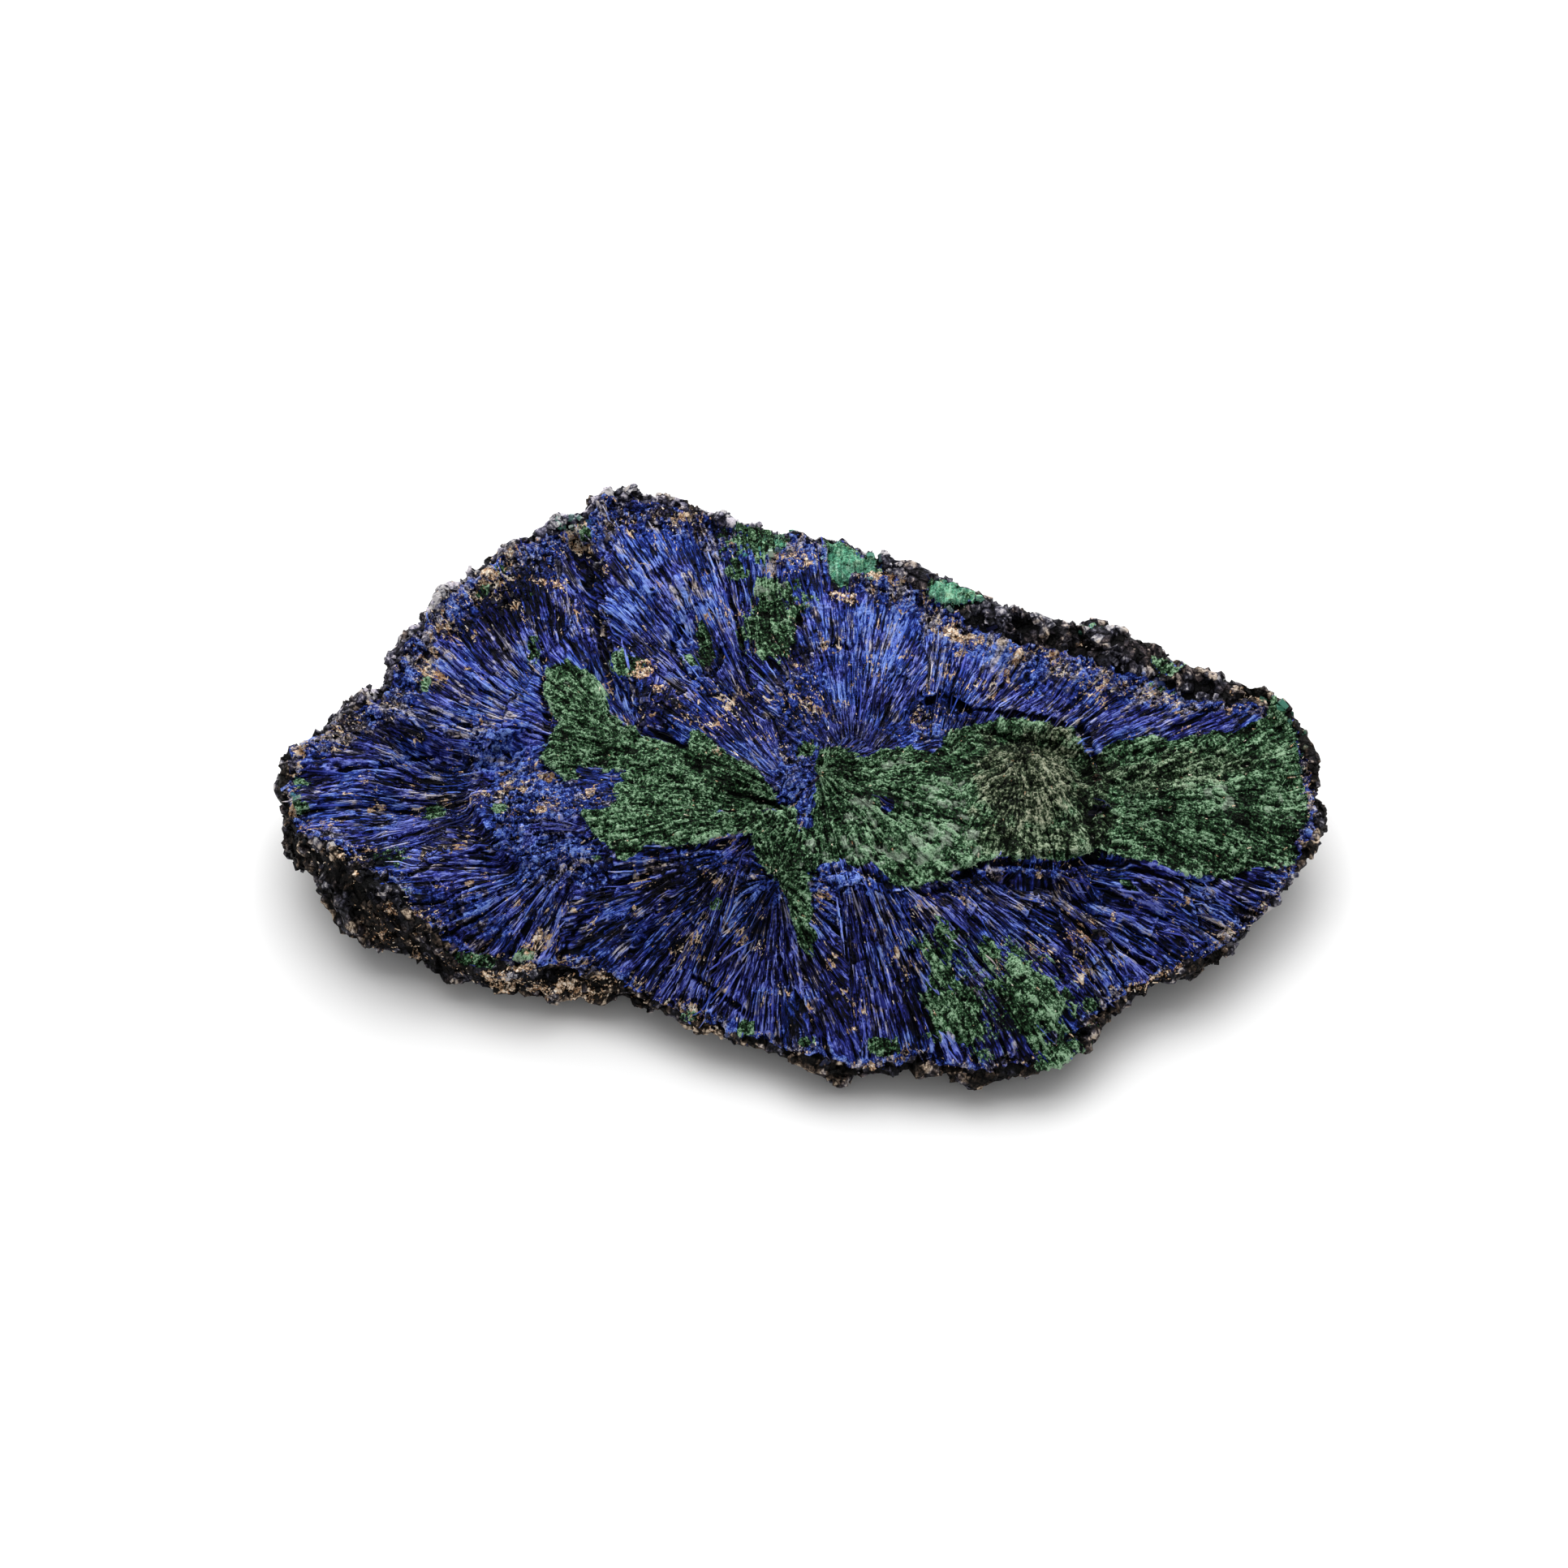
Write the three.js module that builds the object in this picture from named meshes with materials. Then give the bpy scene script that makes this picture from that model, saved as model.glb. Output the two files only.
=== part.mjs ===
// Azurite and malachite specimen: one broken slab of radiating azurite, split by a vein of malachite.
// It is a single stone. The broken face looks up, a dark crust runs round the rim, and the
// underside is worn flat where the stone rests.
// The solid is the broken face, a wall of rings below its crest, and the underside.
// Lengths are in millimetres. X runs along the stone, Y from its front to its back, Z up.

import * as THREE from "three";
import { ImprovedNoise } from "three/addons/math/ImprovedNoise.js";

// The crest, where the broken face ends, from the left tip round by the front and the right tip.
// Each row is x, y and height of the crest, then the wall's flare below it and the height of its foot.
const RIM = [
  [-89.6, 3.7, 15, -0.6, 10],
  [-88, -2.6, 16, -0.6, 10],
  [-86.6, -9.3, 18, -0.4, 9],
  [-81, -12.8, 21, 1, 7],
  [-76.2, -19, 20.5, 2.6, 6],
  [-70.6, -23.1, 20, 2.4, 6],
  [-65.6, -27, 15, 0.4, 5],
  [-59.3, -30.4, 9.5, -0.8, 4.5],
  [-52.4, -32.5, 9, -1.4, 4],
  [-45.7, -33.6, 11, 1.2, 4],
  [-38.8, -33.2, 9, 1.4, 4],
  [-32.5, -35.4, 7.5, 0.4, 4],
  [-26.3, -37.4, 7.5, -1.6, 4],
  [-19.4, -41.5, 7, -2.6, 3.6],
  [-12.5, -45.1, 6.5, -2.8, 3.4],
  [-5.5, -47.4, 6.5, -3, 3.4],
  [1.4, -50.2, 6.5, -2.6, 3.2],
  [6.2, -53.3, 6, -2.6, 3],
  [11.8, -52.8, 6, -2.2, 3],
  [19.4, -51.8, 6.5, -3, 3],
  [25.6, -52.6, 6, -3.4, 3],
  [29.8, -54.1, 5.5, -2.6, 2.8],
  [36, -53, 6.5, -3.2, 2.8],
  [41.3, -51.2, 7, -3.6, 3],
  [46.6, -46.7, 7.5, -3.8, 3.4],
  [52, -41.4, 8.5, -4, 3.8],
  [59.2, -35.5, 9, -4, 4],
  [67, -32.3, 9.5, -4, 4.4],
  [74, -26.2, 10, -4.2, 4.8],
  [80.5, -18.7, 11, -4.4, 5.4],
  [85, -11.4, 12, -3.6, 6],
  [88.4, -5.8, 13, -3.2, 6.5],
  [90, -1.8, 14, -2.6, 7],
  [89.1, 4.2, 15.5, -2, 8],
  [87.6, 9.9, 17, -1, 9],
  [84.8, 12.8, 18.5, 0.4, 10],
  [83.2, 16.2, 20, 1.6, 11],
  [80.3, 19.4, 22, 3, 12],
  [71.6, 20, 24, 4, 13],
  [62.3, 24.1, 26, 4, 14],
  [54, 27.5, 28, 4, 15],
  [44, 29.3, 29.5, 4, 16],
  [34.6, 31.5, 31, 4, 17],
  [26.6, 35.6, 32, 3.6, 17],
  [19.8, 38.6, 32.5, 3.4, 17],
  [11.1, 41.7, 33, 3, 17],
  [1.4, 45.5, 33, 3, 17],
  [-8.3, 47.2, 33, 3, 17],
  [-14.5, 49.4, 33.5, 3, 17],
  [-21.9, 53.6, 34, 3, 17],
  [-30.5, 54.5, 34, 3, 17],
  [-35.8, 53.8, 33.5, 3, 17],
  [-42.2, 49.2, 31.5, 3, 17],
  [-49, 47.6, 30, 3, 16],
  [-56.1, 41.8, 28.5, 3, 15],
  [-62.8, 35.2, 27, 2.6, 14],
  [-67.9, 29.6, 25.5, 2.4, 13],
  [-71, 20.6, 23, 2.2, 12],
  [-77.6, 17.9, 20, 1.6, 11],
  [-83, 14.4, 17.5, 0.8, 11],
  [-87.4, 10.8, 16, 0, 10],
];

// Fineness of the skin.
const COLUMNS_PER_POINT = 3;
const WALL_RINGS = 5;
const FACE_SPACING = 2.38;
const UNDERSIDE_SPACING = 4.3;
const JITTER_SHARE = 0.24;

// The face falls from a spine, which lies along the vein, to the crest.
const SPINE = [[-44, -7.5], [48, -8.5]];
const SPINE_HEIGHT = 28;
const SPINE_END_DROP = 4;
const FACE_FALL_POWER = 1.8;

// Sprays of azurite and malachite: the point that the fibres spread from, and the middle of what they fill.
const SPRAYS = [
  { name: "upper left azurite", from: [-35.3, 1.7], fills: [-54, 23.5] },
  { name: "top azurite", from: [-4.2, -0.1], fills: [-20.8, 32.9] },
  { name: "upper middle azurite", from: [8.3, -4.6], fills: [9.7, 21] },
  { name: "upper right azurite", from: [20.8, -4.6], fills: [31.9, 20.9] },
  { name: "far right azurite", from: [26.3, -10], fills: [54, 15.3] },
  { name: "right tip azurite", from: [33.2, -11.9], fills: [76.2, -19.8] },
  { name: "lower right azurite", from: [29.1, -13.7], fills: [56.8, -27.6] },
  { name: "front right azurite", from: [12.5, -15.5], fills: [36, -37.9] },
  { name: "front azurite", from: [5.5, -11.9], fills: [19.4, -36.9] },
  { name: "front middle azurite", from: [-4.2, -24.6], fills: [-3.5, -39.8] },
  { name: "front left azurite", from: [-8.3, -19.1], fills: [-26.3, -32.3] },
  { name: "lower left azurite", from: [-34.6, -14.7], fills: [-54, -24] },
  { name: "left tip azurite", from: [-42.9, -0.2], fills: [-74.8, 2.2] },
  { name: "left malachite", from: [0, -10], fills: [-22.2, -5.5] },
  { name: "left arm malachite", from: [-26.3, 1.7], fills: [-40.2, 15.3] },
  { name: "middle malachite", from: [2.8, -4.6], fills: [15.2, -13.7] },
  { name: "dome malachite", from: [37.7, 0.1], fills: [38.8, -9] },
  { name: "right bulb malachite", from: [47.8, -7.3], fills: [69.3, -7.4] },
];
const SPRAY_SOFTNESS = 4;

// Flutes that follow the fibres.
const FLUTE_HEIGHT = 2.2;
const FLUTE_WIDTH = 7;
const FLUTE_LENGTH = 24;

// Scarps in the face, where a slab of fibres has broken away. The low side is on the right hand,
// going along the points.
const SCARPS = [
  {
    name: "edge of the upper left block",
    points: [[-72, 12.4], [-65, 9.7], [-59.6, 7.4], [-53.3, 7], [-48.5, 7.9], [-41.6, 8.4]],
    drop: 5.5,
    reach: 13,
  },
  {
    name: "brow of the left shelf",
    points: [[-54, 5.4], [-55.1, 3.4], [-56.5, -2], [-55.4, -7.4], [-52.3, -12], [-47.1, -18.3], [-40.2, -20.5]],
    drop: 3,
    reach: 16,
  },
  {
    name: "front edge of the malachite",
    points: [[26.3, -26], [34.6, -22.3], [42.9, -22.3], [49.2, -21.2], [56.8, -22.3], [65.1, -24.6]],
    drop: 3.6,
    reach: 9,
  },
  {
    name: "broken step behind the dome",
    points: [[20.8, 10.1], [28.4, 8.2], [37.4, 7.5], [45.7, 5.5], [48.8, 0.1]],
    drop: 2.4,
    reach: 4,
  },
];
const SCARP_HALF_WIDTH = 0.6;
const SCARP_END_FADE = 12;

// Grooves in the face.
const GROOVES = [
  {
    name: "cleft between the top sprays",
    points: [[-39.5, 48.6], [-36.3, 35.5], [-33.9, 22], [-32.4, 12.2]],
    depth: 3.4,
    halfWidth: 2.8,
  },
  { name: "waist between dome and bulb", points: [[49, 2], [49.4, -10], [49.2, -22]], depth: 3, halfWidth: 4 },
  { name: "hollow in the vein", points: [[-12, -8.6], [-3.5, -9.8]], depth: 3, halfWidth: 2.2 },
];

// Swellings and pits in the face: middle, radii and height.
const SWELLINGS = [
  { name: "malachite dome", at: [38.4, -9], radii: [12, 14], height: 3.2 },
  { name: "malachite bulb", at: [68, -9], radii: [19, 13], height: 2.6 },
  { name: "knob left of the tail", at: [-9.7, -24.6], radii: [8, 6], height: 2.4 },
  { name: "knob right of the tail", at: [6.9, -25.4], radii: [7, 5], height: 2 },
  { name: "pit in the top spray", at: [-18, 27], radii: [4, 3], height: -2.2 },
  { name: "broken end by the upper step", at: [16, 9], radii: [7, 4], height: -1.6 },
  { name: "swell of the front malachite", at: [36, -41], radii: [9, 9], height: 1.8 },
];

// Blocky crystals of the crust, on the wall and in a band along the crest.
const CRUST_LUMP = 1.5;
const CRUST_LUMP_SIZE = 5.5;
const CRUST_BAND = 9;
const CRYSTAL_HEIGHT = 0.9;
const CREST_RAGGEDNESS = 1.3;

// The underside rises from its flat rest to the foot of the wall, and has hollows away from its middle.
const REST_MARGIN = 4;
const REST_MARGIN_PER_FOOT = 1;
const HOLLOW_DEPTH = 3.4;
const HOLLOW_SIZE = 15;
const HOLLOW_THRESHOLD = 0.06;
const HOLLOW_FREE_RADII = [30, 16];

// Colour of the stone at a distance, mostly azurite.
const STONE_COLOUR = 0x2a3278;
const STONE_ROUGHNESS = 0.6;

const { clamp, lerp, smoothstep, seededRandom } = THREE.MathUtils;
const noise = new ImprovedNoise();
const RANDOM_SEED = 11;
seededRandom(RANDOM_SEED);

function noiseAt(x, y, z, size) {
  return noise.noise(x / size, y / size, z / size);
}

// Random, from -1 to 1.
function scatter() {
  return 2 * seededRandom() - 1;
}

// The nearest place on a line of points: how far, whether it lies on the left, and how far along.
function nearest(points, x, y) {
  let found = { distance: Infinity };
  let total = 0;
  for (let i = 1; i < points.length; i++) {
    const [ax, ay] = points[i - 1];
    const dx = points[i][0] - ax;
    const dy = points[i][1] - ay;
    const length = Math.hypot(dx, dy);
    const share = clamp(((x - ax) * dx + (y - ay) * dy) / length ** 2, 0, 1);
    const distance = Math.hypot(x - ax - dx * share, y - ay - dy * share);
    if (distance < found.distance) {
      found = { distance, left: dx * (y - ay) > dy * (x - ax), along: total + share * length };
    }
    total += length;
  }
  return { ...found, total };
}

// A scarp drops at once beside its line and recovers over its reach.
function scarpHeight({ points, drop, reach }, x, y) {
  const { distance, left, along, total } = nearest(points, x, y);
  const into = left ? -distance : distance;
  const step = smoothstep(into, -SCARP_HALF_WIDTH, SCARP_HALF_WIDTH);
  const ends = smoothstep(Math.min(along, total - along), -1, SCARP_END_FADE);
  return -drop * step * ends * Math.exp(-Math.max(into, 0) / reach);
}

function grooveHeight({ points, depth, halfWidth }, x, y) {
  const { distance } = nearest(points, x, y);
  return -depth * Math.exp(-((distance / halfWidth) ** 2));
}

function swellingHeight({ at, radii, height }, x, y) {
  const reach = Math.hypot((x - at[0]) / radii[0], (y - at[1]) / radii[1]);
  return height * (1 - smoothstep(reach, 0, 1.15));
}

// Sharp-crested flutes round the start of each spray, shared out by how near the spray's middle is.
function fluteHeight(x, y) {
  let sum = 0;
  let weights = 0;
  SPRAYS.forEach(({ from, fills }, i) => {
    const weight = (Math.hypot(x - fills[0], y - fills[1]) + SPRAY_SOFTNESS) ** -4;
    const radius = Math.hypot(fills[0] - from[0], fills[1] - from[1]);
    const along = Math.hypot(x - from[0], y - from[1]);
    const turn = [(x - from[0]) / along, (y - from[1]) / along];
    const [across, aside] = turn.map((share) => (share * radius) / FLUTE_WIDTH);
    const wave = noise.noise(across + 7 * i, aside, along / FLUTE_LENGTH);
    sum += weight * (0.5 - 2 * Math.abs(wave));
    weights += weight;
  });
  return (FLUTE_HEIGHT * sum) / weights;
}

function faceFeatures(x, y) {
  let height = fluteHeight(x, y);
  for (const scarp of SCARPS) height += scarpHeight(scarp, x, y);
  for (const groove of GROOVES) height += grooveHeight(groove, x, y);
  for (const swelling of SWELLINGS) height += swellingHeight(swelling, x, y);
  return height;
}

// The crest's points with the way out of the stone at each, and the wall below it.
function makeCrest() {
  const crest = new THREE.CatmullRomCurve3(RIM.map(([x, y, height]) => new THREE.Vector3(x, y, height)), true);
  const wall = new THREE.CatmullRomCurve3(RIM.map(([, , , flare, foot]) => new THREE.Vector3(flare, foot, 0)), true);
  const count = RIM.length * COLUMNS_PER_POINT;
  return Array.from({ length: count }, (_, i) => {
    const share = crest.getUtoTmapping(i / count);
    const point = crest.getPoint(share);
    const tangent = crest.getTangent(share);
    const out = new THREE.Vector2(tangent.y, -tangent.x).normalize();
    const push = CREST_RAGGEDNESS * (noiseAt(point.x, point.y, 40, CRUST_LUMP_SIZE) + 0.35 * scatter());
    const { x: flare, y: foot } = wall.getPoint(share);
    return { x: point.x + out.x * push, y: point.y + out.y * push, z: point.z, out, flare, foot };
  });
}

// A point of the wall, at a share of the way down from the crest to the foot.
function wallPoint({ x, y, z: top, out, flare, foot }, share) {
  const z = lerp(top, foot, share);
  const bulge = flare * Math.sin((share * Math.PI) / 2);
  const lump = CRUST_LUMP * 1.3 * noiseAt(x, y, z + 60, CRUST_LUMP_SIZE) + 0.3 * CRYSTAL_HEIGHT * scatter();
  return [x + out.x * (bulge + lump), y + out.y * (bulge + lump), z];
}

function inside(outline, x, y) {
  let within = false;
  outline.forEach(([ax, ay], i) => {
    const [bx, by] = outline[(i + 1) % outline.length];
    if (ay > y !== by > y && x < ax + ((bx - ax) * (y - ay)) / (by - ay)) within = !within;
  });
  return within;
}

function edgeDistance(outline, x, y) {
  return nearest([...outline, outline[0]], x, y).distance;
}

// A value that the outline's points hold, spread inwards from the nearest of them.
function spreadInwards(outline, values, x, y) {
  let sum = 0;
  let weights = 0;
  outline.forEach(([ax, ay], i) => {
    const weight = (Math.hypot(x - ax, y - ay) + 1) ** -3;
    sum += weight * values[i];
    weights += weight;
  });
  return sum / weights;
}

// Points in rows, each set off from the last by half a spacing and moved a little at random.
function fillOutline(outline, spacing, isFree) {
  const points = [];
  const rowHeight = spacing * Math.sin(Math.PI / 3);
  const [lowX, highX] = [Math.min(...outline.map((p) => p[0])), Math.max(...outline.map((p) => p[0]))];
  const [lowY, highY] = [Math.min(...outline.map((p) => p[1])), Math.max(...outline.map((p) => p[1]))];
  for (let row = 0; lowY + row * rowHeight < highY; row++) {
    for (let x = lowX + (row % 2) * (spacing / 2); x < highX; x += spacing) {
      const px = x + scatter() * JITTER_SHARE * spacing;
      const py = lowY + row * rowHeight + scatter() * JITTER_SHARE * spacing;
      const clear = inside(outline, px, py) && edgeDistance(outline, px, py) > 0.6 * spacing;
      if (clear && isFree(px, py)) points.push([px, py]);
    }
  }
  return points;
}

// Pairs of points along a scarp, one at its head and one at its foot.
function scarpPoints({ points }) {
  const line = new THREE.CurvePath();
  for (let i = 1; i < points.length; i++) {
    line.add(new THREE.LineCurve(new THREE.Vector2(...points[i - 1]), new THREE.Vector2(...points[i])));
  }
  const steps = Math.round(line.getLength() / FACE_SPACING);
  return Array.from({ length: steps + 1 }, (_, i) => {
    const { x, y } = line.getPointAt(i / steps);
    const { x: dx, y: dy } = line.getTangentAt(i / steps);
    const away = SCARP_HALF_WIDTH * 1.25;
    return [[x - dy * away, y + dx * away], [x + dy * away, y - dx * away]];
  }).flat();
}

// A triangle of three points with its circumcircle.
function circled(points, a, b, c) {
  const [[ax, ay], [bx, by], [cx, cy]] = [points[a], points[b], points[c]];
  const twice = 2 * ((bx - ax) * (cy - ay) - (by - ay) * (cx - ax));
  const bb = (bx - ax) ** 2 + (by - ay) ** 2;
  const cc = (cx - ax) ** 2 + (cy - ay) ** 2;
  const ux = ((cy - ay) * bb - (by - ay) * cc) / twice;
  const uy = ((bx - ax) * cc - (cx - ax) * bb) / twice;
  return { corners: [a, b, c], x: ax + ux, y: ay + uy, square: ux ** 2 + uy ** 2 };
}

// Delaunay triangles of points in the plan, made by adding one point at a time, that lie in the outline.
function triangulate(outline, filling) {
  const points = [...outline, ...filling];
  const far = 5000;
  const held = [...points, [-far, -far], [far, -far], [0, far]];
  let triangles = [circled(held, points.length, points.length + 1, points.length + 2)];
  points.forEach(([x, y], p) => {
    const rim = new Map();
    triangles = triangles.filter((t) => {
      if ((x - t.x) ** 2 + (y - t.y) ** 2 > t.square) return true;
      const [a, b, c] = t.corners;
      for (const [from, to] of [[a, b], [b, c], [c, a]]) {
        if (!rim.delete(`${to} ${from}`)) rim.set(`${from} ${to}`, [from, to]);
      }
      return false;
    });
    for (const [from, to] of rim.values()) triangles.push(circled(held, from, to, p));
  });
  return triangles
    .map((t) => t.corners)
    .filter((corners) => Math.max(...corners) < points.length)
    .filter((corners) => {
      const middle = [0, 1].map((axis) => corners.reduce((sum, c) => sum + points[c][axis], 0) / 3);
      return inside(outline, ...middle);
    });
}

// The broken face over its outline. Its first points are the crest's own.
function makeFace(crest) {
  const outline = crest.map(({ x, y }) => [x, y]);
  const heights = crest.map(({ z }) => z);
  const edges = SCARPS.flatMap(scarpPoints);
  const isFree = (x, y) => edges.every(([ex, ey]) => Math.hypot(x - ex, y - ey) > 0.62 * FACE_SPACING);
  const filling = [...edges, ...fillOutline(outline, FACE_SPACING, isFree)];
  const points = filling.map(([x, y]) => {
    const toCrest = edgeDistance(outline, x, y);
    const toSpine = nearest(SPINE, x, y).distance;
    const share = toSpine / (toSpine + toCrest);
    const spineHeight = SPINE_HEIGHT - SPINE_END_DROP * (x / SPINE[1][0]) ** 2;
    const base = lerp(spineHeight, spreadInwards(outline, heights, x, y), share ** FACE_FALL_POWER);
    const crust = 1 - smoothstep(toCrest, 0, CRUST_BAND);
    const blocks = CRUST_LUMP * noiseAt(x, y, 11, CRUST_LUMP_SIZE) + CRYSTAL_HEIGHT * scatter();
    const settle = smoothstep(toCrest, 0, CRUST_BAND / 2);
    return [x, y, base + faceFeatures(x, y) * lerp(0.4, 1, settle) + blocks * crust];
  });
  return { points, triangles: triangulate(outline, filling) };
}

// The underside within the wall's foot. Its first points are the foot's own.
function makeUnderside(foot) {
  const outline = foot.map(([x, y]) => [x, y]);
  const heights = foot.map(([, , z]) => z);
  const filling = fillOutline(outline, UNDERSIDE_SPACING, () => true);
  const points = filling.map(([x, y]) => {
    const height = spreadInwards(outline, heights, x, y);
    const margin = REST_MARGIN + REST_MARGIN_PER_FOOT * height;
    const rise = height * (1 - smoothstep(edgeDistance(outline, x, y), 0, margin));
    const away = Math.hypot(x / HOLLOW_FREE_RADII[0], (y + 2) / HOLLOW_FREE_RADII[1]);
    const hollow = Math.max(0, noiseAt(x, y, 90, HOLLOW_SIZE) - HOLLOW_THRESHOLD);
    return [x, y, rise + 2 * HOLLOW_DEPTH * hollow * smoothstep(away, 1, 1.5)];
  });
  return { points, triangles: triangulate(outline, filling) };
}

// Triangles between one ring of the wall and the next one down.
function wallTriangles(rings, columns) {
  const triangles = [];
  for (let r = 0; r + 1 < rings; r++) {
    for (let c = 0; c < columns; c++) {
      const next = (c + 1) % columns;
      const [a, b] = [r * columns + c, (r + 1) * columns + c];
      const [d, e] = [r * columns + next, (r + 1) * columns + next];
      triangles.push([a, b, e], [a, e, d]);
    }
  }
  return triangles;
}

// The whole skin as one closed geometry: the wall's rings, then the face's points and the underside's.
function makeStone() {
  const crest = makeCrest();
  const columns = crest.length;
  const rings = [crest.map(({ x, y, z }) => [x, y, z])];
  for (let i = 1; i <= WALL_RINGS; i++) rings.push(crest.map((column) => wallPoint(column, i / WALL_RINGS)));
  const face = makeFace(crest);
  const underside = makeUnderside(rings.at(-1));
  const faceStart = rings.length * columns;
  const undersideStart = faceStart + face.points.length;
  const lastRing = (rings.length - 1) * columns;
  const onFace = (i) => (i < columns ? i : faceStart + i - columns);
  const below = (i) => (i < columns ? lastRing + i : undersideStart + i - columns);
  const triangles = [
    ...wallTriangles(rings.length, columns),
    ...face.triangles.map((corners) => corners.map(onFace)),
    ...underside.triangles.map(([a, b, c]) => [below(a), below(c), below(b)]),
  ];
  const points = [...rings.flat(), ...face.points, ...underside.points];
  const geometry = new THREE.BufferGeometry();
  geometry.setAttribute("position", new THREE.Float32BufferAttribute(points.flat(), 3));
  geometry.setIndex(triangles.flat());
  geometry.computeBoundingBox();
  const { min, max } = geometry.boundingBox;
  geometry.translate(-(min.x + max.x) / 2, -(min.y + max.y) / 2, -min.z);
  geometry.computeVertexNormals();
  return geometry;
}

const stone = new THREE.Mesh(
  makeStone(),
  new THREE.MeshStandardMaterial({ color: STONE_COLOUR, roughness: STONE_ROUGHNESS, metalness: 0 }),
);
stone.name = "azurite_malachite_stone";

const specimen = new THREE.Group();
specimen.add(stone);

export default specimen;
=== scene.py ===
"""Looks of the azurite and malachite specimen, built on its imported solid.

The stone is a finer skin over the solid. Azurite fibres, malachite tufts, rim crystals and clay flecks are
scattered over it by Geometry Nodes. Shapes are worked out in millimetres and stored in metres.
"""

import math

import bmesh
import bpy
import numpy as np
from bpy.props import FloatProperty, FloatVectorProperty, IntProperty, PointerProperty
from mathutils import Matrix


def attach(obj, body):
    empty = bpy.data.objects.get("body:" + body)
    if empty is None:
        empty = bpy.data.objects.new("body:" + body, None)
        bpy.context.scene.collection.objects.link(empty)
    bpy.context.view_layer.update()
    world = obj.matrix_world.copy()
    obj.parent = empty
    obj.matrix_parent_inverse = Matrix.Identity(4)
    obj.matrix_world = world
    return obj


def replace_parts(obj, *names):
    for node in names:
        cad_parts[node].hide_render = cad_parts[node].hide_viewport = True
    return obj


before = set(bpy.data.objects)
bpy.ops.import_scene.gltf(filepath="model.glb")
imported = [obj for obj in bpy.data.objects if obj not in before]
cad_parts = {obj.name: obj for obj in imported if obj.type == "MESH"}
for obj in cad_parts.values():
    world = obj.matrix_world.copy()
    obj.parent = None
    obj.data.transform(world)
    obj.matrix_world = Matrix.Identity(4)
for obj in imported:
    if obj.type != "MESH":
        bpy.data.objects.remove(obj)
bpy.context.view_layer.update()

bl_info = {
    "name": "Azurite and Malachite Specimen",
    "version": (1, 0, 0),
    "blender": (4, 5, 0),
    "location": "View3D > Sidebar > Specimen",
    "description": "Builds a fibrous azurite stone with its malachite vein, rim crystals and clay",
    "category": "Object",
}

NODE = "azurite_malachite_stone"
MM = 0.001

# The camera, in millimetres and degrees. It looks along +Y, down on the broken face.
ELEVATION = math.radians(50)
DISTANCE = 1486.0
TARGET = np.array([-3.2, 0.0, 17.0])
LENS = 200.0
SENSOR = 36.0
PICTURE = 1932

FORWARD = np.array([0.0, math.cos(ELEVATION), -math.sin(ELEVATION)])
UPWARD = np.array([0.0, math.sin(ELEVATION), math.cos(ELEVATION)])
CAMERA = TARGET - DISTANCE * FORWARD
PIXELS_PER_MM = PICTURE * LENS / SENSOR / DISTANCE

# Where the solid's own layout has its origin, in millimetres of the frame.
LAYOUT_ORIGIN = np.array([-0.12, -2.53])

# Sprays of fibres, in the layout: the point that they spread from, and the middle of what they fill.
SPRAYS = [
    ((-35.3, 1.7), (-54, 23.5)),
    ((-4.2, -0.1), (-20.8, 32.9)),
    ((8.3, -4.6), (9.7, 21)),
    ((20.8, -4.6), (31.9, 20.9)),
    ((26.3, -10), (54, 15.3)),
    ((33.2, -11.9), (76.2, -19.8)),
    ((29.1, -13.7), (56.8, -27.6)),
    ((12.5, -15.5), (36, -37.9)),
    ((5.5, -11.9), (19.4, -36.9)),
    ((-4.2, -24.6), (-3.5, -39.8)),
    ((-8.3, -19.1), (-26.3, -32.3)),
    ((-34.6, -14.7), (-54, -24)),
    ((-42.9, -0.2), (-74.8, 2.2)),
    ((0, -10), (-22.2, -5.5)),
    ((-26.3, 1.7), (-40.2, 15.3)),
    ((2.8, -4.6), (15.2, -13.7)),
    ((37.7, 0.1), (38.8, -9)),
    ((47.8, -7.3), (69.3, -7.4)),
]

# Outlines on the stone as the camera sees it, in pixels of a 1932 pixel picture from its top left corner.
FACE = [
    (352, 975), (362, 915), (400, 902), (430, 880), (470, 862), (485, 825), (505, 788), (530, 755), (575, 712),
    (640, 672), (700, 652), (745, 615), (785, 612), (840, 622), (900, 650), (960, 658), (1030, 668),
    (1090, 700), (1140, 728), (1190, 765), (1240, 785), (1300, 798), (1360, 815), (1410, 838), (1470, 858),
    (1530, 868), (1575, 875), (1590, 905), (1612, 940), (1622, 975), (1620, 1020), (1602, 1055), (1585, 1088),
    (1545, 1138), (1500, 1172), (1455, 1192), (1400, 1214), (1370, 1238), (1335, 1262), (1318, 1285),
    (1270, 1312), (1205, 1318), (1130, 1306), (1055, 1318), (990, 1300), (930, 1282), (870, 1262), (805, 1232),
    (750, 1202), (700, 1192), (640, 1186), (590, 1186), (555, 1168), (520, 1135), (490, 1094), (440, 1068),
    (405, 1035), (372, 1035), (358, 1010),
]
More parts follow.
